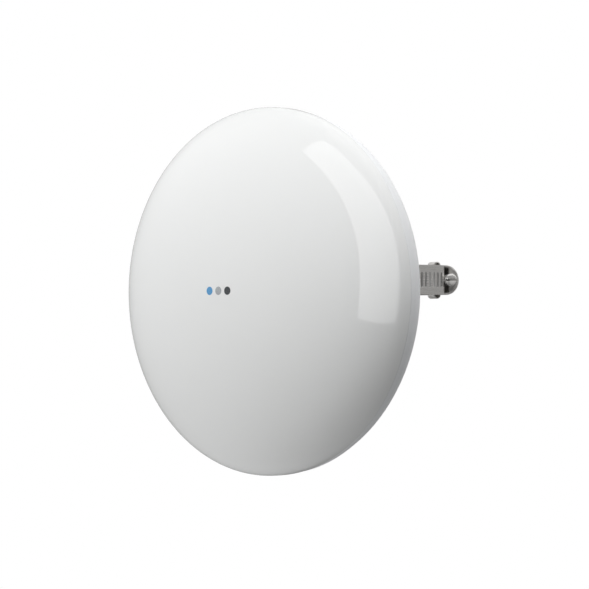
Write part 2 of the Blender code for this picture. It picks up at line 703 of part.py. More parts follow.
def lock_nut():
    front = BALL_FORWARD + NUT_FRONT
    shoulder = BALL_FORWARD - NUT_SHOULDER
    back = BALL_FORWARD - NUT_BACK
    mouth = SEAT_OUTER - 0.0027
    profile = [(NUT_BORE, front), (NUT_RADIUS - 0.001, front), (NUT_RADIUS, front - 0.001),
               (NUT_RADIUS, BALL_FORWARD - 0.0025), (NUT_RADIUS - 0.001, shoulder + 0.0019),
               (NUT_RADIUS - 0.008, back), (mouth + 0.0008, back), (mouth, back + 0.001),
               (mouth, shoulder), (NUT_BORE - 0.002, shoulder), (NUT_BORE, shoulder + 0.002)]
    nut = turned("lock_nut", profile, "grey_plastic", 40, closed=True)
    scallops = bpy.data.meshes.new("nut_scallops")
    cage = bmesh.new()
    for number in range(NUT_SCALLOPS):
        angle = 2 * math.pi * (number + 0.5) / NUT_SCALLOPS
        spot = Vector((math.cos(angle), 0, math.sin(angle))) * (NUT_RADIUS + SCALLOP_OFFSET)
        matrix = Matrix.Translation(spot + BALL_CENTRE) @ Matrix.Rotation(math.pi / 2, 4, "X")
        bmesh.ops.create_cone(cage, cap_ends=True, segments=12, radius1=SCALLOP_RADIUS,
                              radius2=SCALLOP_RADIUS, depth=0.05, matrix=matrix)
    cage.to_mesh(scallops)
    cage.free()
    combine(nut, hide_cutter(link("nut_scallops", scallops, None, CUTTERS)))
    return nut


# ---------------------------------------------------------------- pole bracket
def jaw_line(x):
    """Forward distance of a jaw's flat face at a sideways distance from the middle."""
    return JAW_ROOT - x * math.tan(JAW_ANGLE)


def pole_bracket():
    half = BRACKET_HALF_WIDTH
    tip = half - 0.0025
    right = [(BRACKET_FACE_HALF, -BRACKET_FRONT), (half, -BRACKET_FRONT + 0.0085),
             (half, -jaw_line(tip) - 0.002), (tip, -jaw_line(tip)),
             (JAW_RELIEF, -jaw_line(JAW_RELIEF)), (JAW_RELIEF, -JAW_ROOT - JAW_RELIEF_DEPTH)]
    left = [(-x, y) for x, y in reversed(right)]
    top = BRACKET_LOW + BRACKET_HEIGHT
    middle = Matrix.Translation((0, 0, (BRACKET_LOW + top) / 2))
    bracket = prism("pole_bracket", [right + left], BRACKET_HEIGHT, "grey_plastic", middle)
    bevel(bracket, 0.0008, 1)
    low = STRAP_LOW - STRAP_SIDE_ROOM
    high = STRAP_HIGH + STRAP_SIDE_ROOM
    side_room = (half - WEB_HALF) / 2 + 0.0035
    for side, name in ((-1, "left"), (1, "right")):
        combine(bracket, ahead_block(f"strap_side_{name}", side_room, -0.005, STRAP_SLOT_FRONT + FIT,
                                     low, high, middle=side * (WEB_HALF + side_room)))
    combine(bracket, ahead_block("strap_slot", WEB_HALF + 0.002, STRAP_SLOT_REAR, STRAP_SLOT_FRONT,
                                 low, high))
    neck = math.degrees(math.acos(STEM_RADIUS / BALL_RADIUS))
    stud = arc((0, BALL_FORWARD), BALL_RADIUS, 90, -neck, 9)
    stud[0] = (0, stud[0][1])
    flare = STEM_RADIUS + STEM_FLARE
    stud += [(STEM_RADIUS, BRACKET_FRONT + STEM_FLARE - FIT), (flare, BRACKET_FRONT - FIT),
             (flare, STRAP_SLOT_FRONT + 0.0012), (0, STRAP_SLOT_FRONT + 0.0012)]
    combine(bracket, turned("ball_stud", stud, None, 28), "UNION")
    return bracket


# ---------------------------------------------------------------- worm-drive strap
def polar(angle, radius):
    """A point round the pole; the angle is measured from straight ahead towards +X."""
    return Vector((radius * math.sin(angle), -radius * math.cos(angle)))


def heading(angle):
    return Vector((math.cos(angle), math.sin(angle)))


def ease(start, start_way, end, end_way, count):
    """Points on a smooth curve between two places with given headings."""
    reach = EASE_REACH * (end - start).length
    points = []
    for i in range(1, count):
        t = i / count
        a, b = 2 * t**3 - 3 * t**2 + 1, t**3 - 2 * t**2 + t
        c, d = -2 * t**3 + 3 * t**2, t**3 - t**2
        points.append(start * a + start_way * reach * b + end * c + end_way * reach * d)
    return points


def in_housing(along, across):
    spot = ALONG * along + ACROSS * across
    return Vector((spot.x, spot.y))


def strap_path():
    """Middle line of the strap, from its fixed end under the worm round to its free tail."""
    leave = HOUSING_ANGLE - HOUSING_TURN
    rejoin = HOUSING_ANGLE + HOUSING_TURN
    slot_middle = STRAP_SLOT_REAR + STRAP_SLOT / 2
    way = Vector((ALONG.x, ALONG.y))
    half = HOUSING_LENGTH / 2
    points = [in_housing(0.002 - half, HOUSING_STANDOFF), in_housing(half, HOUSING_STANDOFF)]
    points += ease(points[-1], way, polar(rejoin, STRAP_RADIUS), heading(rejoin), 5)
    round_back = 2 * math.pi - WEB_TURN
    points += [polar(rejoin + (round_back - rejoin) * i / 6, STRAP_RADIUS) for i in range(7)]
    corner = Vector((0.0015 - WEB_HALF, WEB_BEND - slot_middle))
    points += [corner + polar(-WEB_TURN + WEB_TURN * i / 4, WEB_BEND) for i in range(5)]
    corner.x = -corner.x
    points += [corner + polar(WEB_TURN * i / 4, WEB_BEND) for i in range(5)]
    points += [polar(WEB_TURN, STRAP_RADIUS), polar(leave, STRAP_RADIUS)]
    start = in_housing(-half, UPPER_STANDOFF)
    points += ease(points[-1], heading(leave), start, way, 6) + [start]
    points.append(in_housing(half, UPPER_STANDOFF))
    upper = STRAP_RADIUS + LAYER_STEP
    points += ease(points[-1], way, polar(rejoin, upper), heading(rejoin), 5)
    points += [polar(rejoin + TAIL_TURN * i / 3, upper) for i in range(4)]
    return points


def walk(points, spacing):
    """Points along a path at the given distances, and every corner between them kept."""
    lengths = [0.0]
    for a, b in zip(points, points[1:]):
        lengths.append(lengths[-1] + (b - a).length)
    made = []
    index = 0
    for distance in spacing:
        while index < len(lengths) - 2 and lengths[index + 1] < distance:
            index += 1
        share = (distance - lengths[index]) / (lengths[index + 1] - lengths[index])
        made.append(points[index].lerp(points[index + 1], share))
    return made


def clamp_band():
    """Strap with its worm slots, as a sheet of cells with the slot cells left out."""
    path = strap_path()
    total = sum((b - a).length for a, b in zip(path, path[1:]))
    first = total - PLAIN_TAIL - SLOT_COUNT * SLOT_PITCH
    corners = [0.0]
    for a, b in zip(path, path[1:]):
        corners.append(corners[-1] + (b - a).length)
    marks = [corner for corner in corners if corner < first - 0.0005]
    slot_starts = []
    for number in range(SLOT_COUNT):
        slot_starts.append(len(marks))
        marks += [first + number * SLOT_PITCH, first + number * SLOT_PITCH + SLOT_WIDTH]
    marks += [total - PLAIN_TAIL / 2, total]
    stations = walk(path, marks)
    heights = [STRAP_LOW, STRAP_HEIGHT - SLOT_HEIGHT / 2, STRAP_HEIGHT + SLOT_HEIGHT / 2, STRAP_HIGH]
    cage = bmesh.new()
    rows = [[cage.verts.new((spot.x, spot.y, height)) for height in heights] for spot in stations]
    for i in range(len(rows) - 1):
        for j in range(3):
            if i in slot_starts and j == 1:
                continue
            cage.faces.new((rows[i][j], rows[i + 1][j], rows[i + 1][j + 1], rows[i][j + 1]))
    mesh = bpy.data.meshes.new("clamp_band")
    cage.to_mesh(mesh)
    cage.free()
    band = link("clamp_band", mesh, "steel")
    wall = band.modifiers.new("Sheet", "SOLIDIFY")
    wall.thickness = STRAP_THICKNESS
    wall.offset = 0.0
    wall.use_even_offset = True
    return band


def housing_matrix(along):
    """Local x is up the object's z axis, local y is out of the pole, local z is along the worm."""
    columns = Matrix(((0, ACROSS.x, ALONG.x), (0, ACROSS.y, ALONG.y), (1, 0, 0)))
    place = ALONG * along + Vector((0, 0, STRAP_HEIGHT))
    return Matrix.Translation(place) @ columns.to_4x4()


def clamp_housing():
    """Arch over the worm with an end wall at each end; the strap runs under both walls."""
    half = STRAP_WIDTH / 2
    foot = STRAP_TOP + FIT
    spring = foot + 0.001
    outer = [(half, foot)] + arc((0, spring), half, 0, 180, 16) + [(-half, foot)]
    inner_half = half - HOUSING_WALL
    inner = [(-inner_half, foot)] + arc((0, spring), inner_half, 180, 0, 16) + [(inner_half, foot)]
    shell = prism("clamp_housing", [outer + inner], HOUSING_LENGTH, "steel", housing_matrix(0))
    rise = STRAP_TOP + END_WALL_RISE
    edge = half - HOUSING_WALL / 2
    wall = [(edge, rise)] + arc((0, spring), edge, math.degrees(math.asin((rise - spring) / edge)),
                                180 - math.degrees(math.asin((rise - spring) / edge)), 12)
    wall += [(-edge, rise)]
    for side, name in ((-1, "near"), (1, "far")):
        place = side * (HOUSING_LENGTH - HOUSING_WALL) / 2 - side * 0.0002
        end = prism(f"end_wall_{name}", [wall], HOUSING_WALL, None, housing_matrix(place))
        combine(shell, end, "UNION")
    notch = rod("screw_notch", WORM_RADIUS - 0.0004, 2 * HOUSING_LENGTH, (0, 0, 0), steps=16)
    notch.matrix_world = housing_matrix(0) @ Matrix.Translation((0, WORM_STANDOFF, 0))
    combine(shell, notch)
    return shell


def clamp_saddle():
    """Tray under the strap, whose sides stand up past the strap's edges and carry the arch."""
    low = HOUSING_STANDOFF - STRAP_THICKNESS / 2 - FIT - SADDLE_WALL
    high = STRAP_TOP + 0.002
    inner = STRAP_WIDTH / 2 + FIT
    tray = [(SADDLE_HALF, high), (inner, high), (inner, low + SADDLE_WALL),
            (-inner, low + SADDLE_WALL), (-inner, high), (-SADDLE_HALF, high),
            (-SADDLE_HALF, low), (SADDLE_HALF, low)]
    return prism("clamp_saddle", [list(reversed(tray))], SADDLE_LENGTH, "steel",
                 housing_matrix(SADDLE_SHIFT))


def clamp_screw():
    """Worm screw with a slotted head at the near end of the housing."""
    half = HOUSING_LENGTH / 2
    journal = WORM_RADIUS - 0.0004 - FIT
    head_seat = half + FIT
    head_end = head_seat + SCREW_HEAD_DEPTH
    worm = half - HOUSING_WALL - 3 * FIT
    profile = [(0, half + 0.0006), (journal, half + 0.0006), (journal, worm), (WORM_RADIUS, worm)]
    profile += [(WORM_RADIUS, -worm), (journal, -worm), (journal, -head_seat),
                (SCREW_HEAD_RADIUS, -head_seat), (SCREW_HEAD_RADIUS, -head_end + 0.0005),
                (SCREW_HEAD_RADIUS - 0.0005, -head_end), (0, -head_end)]
    screw = turned("clamp_screw", profile, "steel", 20, axis="up")
    middle = ACROSS * WORM_STANDOFF + Vector((0, 0, STRAP_HEIGHT))
    turn = housing_matrix(0).to_3x3().to_4x4()
    screw.matrix_world = Matrix.Translation(middle) @ turn
    slot = block("screw_slot", (-0.0005, -0.005, -head_end - 0.001),
                 (0.0005, 0.005, -head_end + 0.0013))
    slot.matrix_world = screw.matrix_world @ Matrix.Translation(slot.location)
    combine(screw, slot)
    return screw


# ---------------------------------------------------------------- assembly
def build():
    make_materials()
    pole_bracket()
    clamp_band()
    clamp_saddle()
    clamp_housing()
    clamp_screw()

    head_axis = pivot("ball_joint_centre", BALL_CENTRE)
    button, switch = reset_parts()
    head = [radome_cover(), rear_shell(), rim_gasket(), reflector_dish(), main_board(),
            ethernet_jack(), vent_plug(), switch, button]
    head += list(feed_parts()) + board_screws() + board_parts()
    head += [seat_front(), seat_rear(), slip_washer(), lock_nut(), port_cover(), cable_grommet()]
    hang(head, head_axis)


build()
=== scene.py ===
import json
import math

import bmesh
import bpy
from mathutils import Matrix, Vector


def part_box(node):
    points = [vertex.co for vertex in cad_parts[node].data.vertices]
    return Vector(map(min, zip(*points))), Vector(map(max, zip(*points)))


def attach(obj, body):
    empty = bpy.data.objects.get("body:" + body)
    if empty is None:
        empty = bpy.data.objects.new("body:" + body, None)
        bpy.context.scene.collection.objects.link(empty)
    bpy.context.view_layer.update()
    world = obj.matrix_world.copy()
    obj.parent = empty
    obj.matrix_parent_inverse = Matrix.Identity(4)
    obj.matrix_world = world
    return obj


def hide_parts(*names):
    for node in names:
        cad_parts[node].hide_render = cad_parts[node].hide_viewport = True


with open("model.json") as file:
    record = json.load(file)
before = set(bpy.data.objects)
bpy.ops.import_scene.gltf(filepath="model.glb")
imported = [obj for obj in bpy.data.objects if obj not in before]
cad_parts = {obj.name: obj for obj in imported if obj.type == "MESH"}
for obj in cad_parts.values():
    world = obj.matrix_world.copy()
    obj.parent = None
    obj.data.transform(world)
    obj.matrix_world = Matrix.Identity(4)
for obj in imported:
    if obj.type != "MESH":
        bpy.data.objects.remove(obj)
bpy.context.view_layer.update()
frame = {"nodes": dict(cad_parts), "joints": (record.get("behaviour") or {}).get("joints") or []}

fit = 0.0003  # gap left between pieces that touch
jointOf = {joint["name"]: joint for joint in frame["joints"]}
ballCentre = Vector(jointOf["elevation_tilt"]["pos_m"])
print("frame loaded:", len(frame["nodes"]), "nodes")


def operator(kind, mirrored=False):
    def apply(self, other):
        return self.graph.calc(kind, *((other, self) if mirrored else (self, other)))
    return apply


class Wire:  # a socket that can stand in a sum or a product
    def __init__(self, graph, socket):
        self.graph = graph
        self.socket = socket

    __add__, __radd__ = operator("ADD"), operator("ADD", True)
    __sub__, __rsub__ = operator("SUBTRACT"), operator("SUBTRACT", True)
    __mul__, __rmul__ = operator("MULTIPLY"), operator("MULTIPLY", True)
    __truediv__, __rtruediv__ = operator("DIVIDE"), operator("DIVIDE", True)
    __lt__, __gt__ = operator("LESS_THAN"), operator("GREATER_THAN")


class Graph:
    def __init__(self, tree):
        self.tree = tree
        tree.nodes.clear()

    def feed(self, socket, value):
        if isinstance(value, Wire):
            self.tree.links.new(value.socket, socket)
        else:
            socket.default_value = value

    def node(self, kind, settings=None, sockets=None, out=0):
        made = self.tree.nodes.new(kind)
        for name, value in (settings or {}).items():
            setattr(made, name, value)
        for name, value in (sockets or {}).items():
            self.feed(made.inputs[name], value)
        return Wire(self, made.outputs[out]) if made.outputs else made

    def xyz(self, x=0.0, y=0.0, z=0.0):
        return self.node("ShaderNodeCombineXYZ", None, {"X": x, "Y": y, "Z": z})

    def calc(self, operation, first, second):
        return self.node("ShaderNodeMath", {"operation": operation}, {0: first, 1: second})


class Finish(Graph):
    def __init__(self, name):
        self.material = bpy.data.materials.new(name)
        self.material.use_nodes = True
        super().__init__(self.material.node_tree)
        self.surface = self.tree.nodes.new("ShaderNodeBsdfPrincipled")
        output = self.tree.nodes.new("ShaderNodeOutputMaterial")
        self.tree.links.new(self.surface.outputs[0], output.inputs["Surface"])
        self.place = self.node("ShaderNodeTexCoord", out="Object")

    def set(self, **values):
        for name, value in values.items():
            label = {"colour": "Base Color", "ior": "IOR"}.get(name, name.title())
            self.feed(self.surface.inputs[label], value)
        return self

    def noise(self, scale, detail=2.0, stretch=None, place=None):
        where = place or self.place
        if stretch:
            where = self.node("ShaderNodeMapping", None, {"Vector": where, "Scale": stretch})
        return self.node("ShaderNodeTexNoise", None,
                         {"Vector": where, "Scale": scale, "Detail": detail, "Roughness": 0.55})

    def blend(self, mask, first, second):
        return self.node("ShaderNodeMix", {"data_type": "RGBA"},
                         {0: mask, 6: (*first, 1.0), 7: (*second, 1.0)}, out=2)

    def between(self, value, low, high):
        return self.node("ShaderNodeMapRange", None,
                         {"Value": value, "From Min": 0.3, "From Max": 0.7, "To Min": low,
                          "To Max": high})

    def bump(self, height, depth, strength=0.6):
        self.set(normal=self.node("ShaderNodeBump", None,
                                  {"Height": height, "Distance": depth, "Strength": strength}))
        return self


def paintGlossWhite():
    finish = Finish("glossWhitePlastic")
    cloud = finish.noise(9.0, 2.0)
    haze = finish.noise(70.0, 4.0)
    finish.set(colour=finish.blend(cloud, (0.782, 0.790, 0.786), (0.802, 0.810, 0.806)),
               roughness=finish.between(haze, 0.012, 0.026), ior=1.5)
    return finish.bump(finish.noise(160.0, 1.0), 0.000003, 0.2).material


grained = {
    "satinWhitePlastic": {"grain": (2600.0, 3.0), "cloud": (14.0, 3.0), "dull": (0.735, 0.748, 0.760),
                          "bright": (0.770, 0.780, 0.790), "rough": (0.34, 0.48),
                          "bump": (0.00004, 0.5)},
    "greyMouldedPlastic": {"grain": (2200.0, 3.0), "cloud": (30.0, 4.0),
                           "dull": (0.335, 0.345, 0.355), "bright": (0.375, 0.385, 0.395),
                           "rough": (0.40, 0.58), "bump": (0.00005, 0.6)},
    "blackRubber": {"grain": (1800.0, 4.0), "cloud": (120.0, 5.0), "dull": (0.018, 0.018, 0.019),
                    "bright": (0.045, 0.045, 0.046), "rough": (0.62, 0.85), "bump": (0.00006, 0.7),
                    "dusty": True},
    "blackAcetal": {"grain": (900.0, 3.0), "dull": (0.055, 0.056, 0.060),
                    "bright": (0.080, 0.081, 0.085), "rough": (0.30, 0.46), "bump": (0.00002, 0.4)},
    "clearLens": {"grain": (600.0, 2.0), "dull": (0.66, 0.76, 0.72), "bright": (0.76, 0.84, 0.80),
                  "rough": (0.08, 0.16), "bump": (0.00001, 0.2)},
    "ferriteCore": {"grain": (1500.0, 5.0), "dull": (0.030, 0.028, 0.026),
                    "bright": (0.070, 0.064, 0.058), "rough": (0.45, 0.7), "bump": (0.00006, 0.6)}}


def paintGrained(name, given):
    # colour follows the cloud where there is one, and a dusty finish is rough where it is cloudy
    finish = Finish(name)
    grain = finish.noise(*given["grain"])
    cloud = finish.noise(*given["cloud"]) if "cloud" in given else grain
    finish.set(colour=finish.blend(cloud, given["dull"], given["bright"]),
               roughness=finish.between(cloud if given.get("dusty") else grain, *given["rough"]))
    return finish.bump(grain, *given["bump"]).material


def paintStrapSteel():
    # streaks follow the strap: its own coordinate is the distance along it and the height
    finish = Finish("brushedStrapSteel")
    along = finish.node("ShaderNodeAttribute", {"attribute_name": "strapPlace"}, out="Vector")
    streak = finish.noise(1.0, 4.0, (60.0, 9000.0, 1.0), along)
    smear = finish.noise(160.0, 3.0)
    finish.set(colour=finish.blend(smear, (0.76, 0.744, 0.722), (0.90, 0.882, 0.855)), metallic=1.0,
               roughness=finish.between(streak, 0.20, 0.36))
    return finish.bump(streak, 0.00002, 0.35).material


def paintSteel(name, dull, bright, low, high, metal=1.0):
    finish = Finish(name)
    streak = finish.noise(900.0, 4.0, (1.0, 1.0, 6.0))
    smear = finish.noise(180.0, 3.0)
    finish.set(colour=finish.blend(smear, dull, bright), metallic=metal,
               roughness=finish.between(streak, low, high))
    return finish.bump(streak, 0.00002, 0.4).material


def paintAluminium():
    # a spun dish: fine rings round the forward axis
    finish = Finish("spunAluminium")
    flat = finish.node("ShaderNodeMapping", None,
                       {"Vector": finish.place, "Scale": (1.0, 0.0, 1.0)})
    radius = finish.node("ShaderNodeVectorMath", {"operation": "LENGTH"}, {0: flat}, "Value")
    ring = finish.node("ShaderNodeTexNoise", {"noise_dimensions": "1D"},
                       {"W": radius, "Scale": 2600.0, "Detail": 3.0})
    finish.set(colour=finish.blend(ring, (0.74, 0.75, 0.76), (0.83, 0.84, 0.85)), metallic=1.0,
               roughness=finish.between(ring, 0.26, 0.40))
    return finish.bump(ring, 0.00002, 0.3).material


def paintBoard():
    finish = Finish("circuitBoardGreen")
    tracks = finish.node("ShaderNodeTexBrick", {"offset": 0.5},
                         {"Vector": finish.node("ShaderNodeMapping", None,
                                                {"Vector": finish.place,
                                                 "Rotation": (math.pi / 2, 0.0, 0.0)}),
                          "Scale": 210.0, "Mortar Size": 0.03,
                          "Color1": (0.0, 0.0, 0.0, 1.0), "Color2": (0.1, 0.1, 0.1, 1.0),
                          "Mortar": (1.0, 1.0, 1.0, 1.0)}, out="Fac")
    finish.set(colour=finish.blend(tracks, (0.010, 0.085, 0.035), (0.030, 0.190, 0.085)),
               roughness=0.34 + tracks * 0.1)
    return finish.bump(tracks, 0.00003, 0.5).material


def paintDot(name, colour):
    edge = tuple(channel * mark["edgeShade"] for channel in colour)
    return paintGrained(name, {"grain": (2400.0, 2.0), "dull": edge, "bright": colour,
                               "rough": (0.2, 0.3), "bump": (0.000004, 0.3)})


glossWhite = paintGlossWhite()
satinWhite, greyPlastic, blackRubber, acetal, clearLens, ferrite = (
    paintGrained(name, given) for name, given in grained.items())
strapSteel = paintStrapSteel()
matteSteel = paintSteel("pressedSteel", (0.68, 0.664, 0.643), (0.80, 0.782, 0.757), 0.36, 0.50, 0.65)
brightSteel = paintSteel("turnedSteel", (0.74, 0.725, 0.705), (0.87, 0.855, 0.830), 0.14, 0.26, 0.7)
goldPlate = paintSteel("goldPlate", (0.72, 0.52, 0.22), (0.84, 0.64, 0.30), 0.18, 0.3)
tinPlate = paintSteel("tinPlate", (0.58, 0.59, 0.60), (0.68, 0.69, 0.69), 0.24, 0.38)
aluminium = paintAluminium()
boardGreen = paintBoard()
print("finishes made")


def softCorners(points, radius, closed=False, pieces=4):
    # each corner of a profile becomes a short arc, as long as its two sides have room
    count = len(points)
    made = []
    for i in range(count):
        here = Vector(points[i])
        if not closed and i in (0, count - 1):
            made.append(tuple(here))
            continue
        before, after = Vector(points[i - 1]), Vector(points[(i + 1) % count])
        back, on = before - here, after - here
        turn = back.angle(on, math.pi)
        if turn > math.radians(165):
            made.append(tuple(here))
            continue
        reach = min(radius / math.tan(turn / 2), back.length * 0.45, on.length * 0.45)
        start, end = here + back.normalized() * reach, here + on.normalized() * reach
        for k in range(pieces + 1):
            t = k / pieces
            spot = start * (1 - t) ** 2 + here * 2 * t * (1 - t) + end * t * t
            made.append(tuple(spot))
    return made


def spin(name, profile, steps=96, closed=False, axis="forward", place=(0.0, 0.0, 0.0)):
    # a profile of (radius, distance) turned about the forward or the upright axis
    cage = bmesh.new()
    rings = []
    for radius, distance in profile:
        count = 1 if radius < 1e-7 else steps
        ring = []
        for i in range(count):
            angle = 2 * math.pi * i / steps
            u, v = radius * math.cos(angle), radius * math.sin(angle)
            spot = Vector((u, -distance, v)) if axis == "forward" else Vector((u, v, distance))
            ring.append(cage.verts.new(spot + Vector(place)))
        rings.append(ring)
    pairs = list(zip(rings, rings[1:])) + ([(rings[-1], rings[0])] if closed else [])
    for low, high in pairs:
        for i in range(steps):
            j = (i + 1) % steps
            corners = [low[i % len(low)], low[j % len(low)], high[j % len(high)], high[i % len(high)]]
            corners = [v for k, v in enumerate(corners) if v not in corners[:k]]
            if len(corners) > 2:
                cage.faces.new(corners)
    bmesh.ops.recalc_face_normals(cage, faces=cage.faces)
    return meshObject(name, cage)


def rod(name, radius, low, high, steps, **options):
    # a plain round bar between two distances along its axis
    return spin(name, [(0.0, low), (radius, low), (radius, high), (0.0, high)], steps, **options)


def middleOf(node):
    low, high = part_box(node)
    return [(a + b) / 2 for a, b in zip(low, high)]


def turnedSizes(node):
    # radius, front and rear of a round part on a forward axis
    low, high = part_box(node)
    return (high[0] - low[0]) / 2, -low[1], -high[1]


def addObject(name, data):
    made = bpy.data.objects.new(name, data)
    bpy.context.scene.collection.objects.link(made)
    return made


def meshObject(name, cage, smooth=35.0):
    mesh = bpy.data.meshes.new(name)
    cage.to_mesh(mesh)
    cage.free()
    piece = addObject(name, mesh)
    shadeByAngle(piece, smooth)
    return piece


def shadeByAngle(piece, degrees=35.0):
    piece.data.shade_smooth()
    piece.data.set_sharp_from_angle(angle=math.radians(degrees))


def bar(name, low, high, rounding=0.0, pieces=3):
    # a box between two corners, with rounded edges if asked
    cage = bmesh.new()
    low, high = Vector(low), Vector(high)
    matrix = Matrix.Translation((low + high) / 2) @ Matrix.Diagonal((*(high - low), 1.0))
    bmesh.ops.create_cube(cage, size=1.0, matrix=matrix)
    if rounding:
        bmesh.ops.bevel(cage, geom=cage.edges[:], offset=rounding, segments=pieces, profile=0.5,
                        affect="EDGES")
    return meshObject(name, cage)


def prism(name, loops, low, high, matrix=Matrix()):
    # a flat outline with optional holes, filled and pulled from low to high along its own z axis
    cage = bmesh.new()
    for loop in loops:
        corners = [cage.verts.new((u, v, low)) for u, v in loop]
        for a, b in zip(corners, corners[1:] + corners[:1]):
            cage.edges.new((a, b))
    bmesh.ops.triangle_fill(cage, edges=cage.edges[:], use_beauty=True)
    pulled = bmesh.ops.extrude_face_region(cage, geom=cage.faces[:])
    bmesh.ops.translate(cage, vec=(0, 0, high - low),
                        verts=[item for item in pulled["geom"] if isinstance(item, bmesh.types.BMVert)])
    bmesh.ops.recalc_face_normals(cage, faces=cage.faces)
    bmesh.ops.dissolve_limit(cage, angle_limit=0.01, verts=cage.verts, edges=cage.edges)
    cage.transform(matrix)
    return meshObject(name, cage)


def join(name, pieces):
    # several objects' meshes in one object, for cutting with all of them at once
    cage = bmesh.new()
    for piece in pieces:
        cage.from_mesh(piece.data)
        bpy.data.objects.remove(piece, do_unlink=True)
    return meshObject(name, cage)


def settle(piece):
    # the modifiers' result becomes the piece's own mesh
    bpy.context.view_layer.update()
    shaped = piece.evaluated_get(bpy.context.evaluated_depsgraph_get())
    mesh = bpy.data.meshes.new_from_object(shaped)
    mesh.name = piece.name
    piece.modifiers.clear()
    piece.data = mesh
    return piece


def cut(piece, tool, operation="DIFFERENCE"):
    change = piece.modifiers.new("Cut", "BOOLEAN")
    change.operation = operation
    change.solver = "EXACT"
    change.object = tool
    settle(piece)
    bpy.data.objects.remove(tool, do_unlink=True)
    return piece


def ease(piece, width, pieces=2, limit=40.0):
    # rounds the edges that are sharper than the limit
    edge = piece.modifiers.new("Edges", "BEVEL")
    edge.width = width
    edge.segments = pieces
    edge.limit_method = "ANGLE"
    edge.angle_limit = math.radians(limit)
    edge.harden_normals = False
    settle(piece)
    shadeByAngle(piece)
    return piece


def stand(piece, body, material, slot, *nodes):
    # hands a finished piece to its body and lets it stand for its CAD nodes
    piece.data.materials.clear()
    piece.data.materials.append(material)
    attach(piece, body)
    if nodes:
        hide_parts(*nodes)
    return piece


def arcPoints(centre, radius, start, end, count, other=None):
    made = []
    for i in range(count + 1):
        angle = math.radians(start + (end - start) * i / count)
        made.append((centre[0] + radius * math.cos(angle),
                     centre[1] + (other or radius) * math.sin(angle)))
    return made


cover = {"skirt": 0.004, "fullness": 1.9, "wall": 0.0022, "lip": 0.0004, "rings": 64, "steps": 224}
coverLow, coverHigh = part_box("radome_cover")
coverRadius = (coverHigh[0] - coverLow[0]) / 2
coverEnd = -coverHigh[1]
rimAhead = coverEnd + cover["skirt"]
crown = -coverLow[1] - rimAhead


def crownPoint(angle, radius, height):
    rise = height * max(math.cos(angle), 0.0) ** (2 / cover["fullness"])
    return (radius * math.sin(angle), rimAhead + rise)


def crownAt(radius):
    # distance ahead of the pole of the front cover's face at a radius
    share = min(radius / coverRadius, 1.0)
    return rimAhead + crown * (1 - share * share) ** (1 / cover["fullness"])


def makeRadome():
    count, wall, lip = cover["rings"], cover["wall"], cover["lip"]
    outer = [crownPoint(math.pi / 2 * i / count, coverRadius, crown) for i in range(count + 1)]
    inner = [crownPoint(math.pi / 2 * i / 24, coverRadius - wall, crown - wall)
             for i in range(24, -1, -1)]
    outer[0], inner[-1] = (0.0, outer[0][1]), (0.0, inner[-1][1])
    skirt = softCorners([outer[-1], (coverRadius, coverEnd), (coverRadius - wall, coverEnd),
                         inner[0]], lip)
    profile = outer[:-1] + skirt + inner[1:]
    shell = spin("front_cover_shell", profile, cover["steps"])
    stand(shell, "head", glossWhite, "gloss_white", "radome_cover")


mark = {"radius": 0.0021, "spacing": 0.0062, "thickness": 0.00006, "rings": 5, "steps": 40,
        "edgeShade": 0.8,
        "colours": ((0.10, 0.33, 0.62), (0.42, 0.44, 0.46), (0.07, 0.075, 0.08))}


def makeMark():
    # three plain printed dots in a row in the middle of the front cover
    for number, colour in enumerate(mark["colours"]):
        middle = (number - 1) * mark["spacing"]
        cage = bmesh.new()
        layers = []
        for lift in (mark["thickness"], -mark["thickness"]):
            grid = [[cage.verts.new(dotPoint(middle, 0.0, 0.0, lift))]]
            for ring in range(1, mark["rings"] + 1):
                reach = mark["radius"] * ring / mark["rings"]
                grid.append([cage.verts.new(dotPoint(middle, reach, 2 * math.pi * i / mark["steps"],
                                                     lift)) for i in range(mark["steps"])])
            layers.append(grid)
            for inner, outer in zip(grid, grid[1:]):
                for i in range(mark["steps"]):
                    j = (i + 1) % mark["steps"]
                    corners = [inner[i % len(inner)], outer[i], outer[j], inner[j % len(inner)]]
                    corners = [v for k, v in enumerate(corners) if v not in corners[:k]]
                    cage.faces.new(corners)
        front, rear = layers[0][-1], layers[1][-1]
        for i in range(mark["steps"]):
            j = (i + 1) % mark["steps"]
            cage.faces.new((front[i], front[j], rear[j], rear[i]))
        bmesh.ops.recalc_face_normals(cage, faces=cage.faces)
        dot = meshObject(f"front_dot_{number + 1}", cage)
        stand(dot, "head", paintDot(f"dotInk{number + 1}", colour), "gloss_white")


def dotPoint(middle, reach, angle, lift):
    x, z = middle + reach * math.cos(angle), reach * math.sin(angle)
    return (x, -crownAt(math.hypot(x, z)) - lift, z)


shell = {"beadInset": 0.0006, "beadWidth": 0.004, "seam": 0.0006, "wall": 0.0024,
         "backRadius": 0.052, "flatness": 1.25, "tongueWall": 0.0032, "tongueFit": 0.0026,
         "neckWall": 0.0034, "curve": 40, "steps": 192, "recessRadius": 0.046,
         "recessDepth": 0.0005, "ventDepth": 0.0022}
beadTop = coverEnd - shell["seam"]
beadEnd = beadTop - shell["beadWidth"]
beadRadius = coverRadius - shell["beadInset"]
curveRadius = beadRadius - shell["beadInset"]
backAhead = -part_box("vent_plug")[1][1] - fit + shell["ventDepth"]
neckEnd = -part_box("rear_shell")[1][1]
socketRadius = 0.0176
neckRadius = socketRadius + shell["neckWall"]
ballAhead = -ballCentre.y


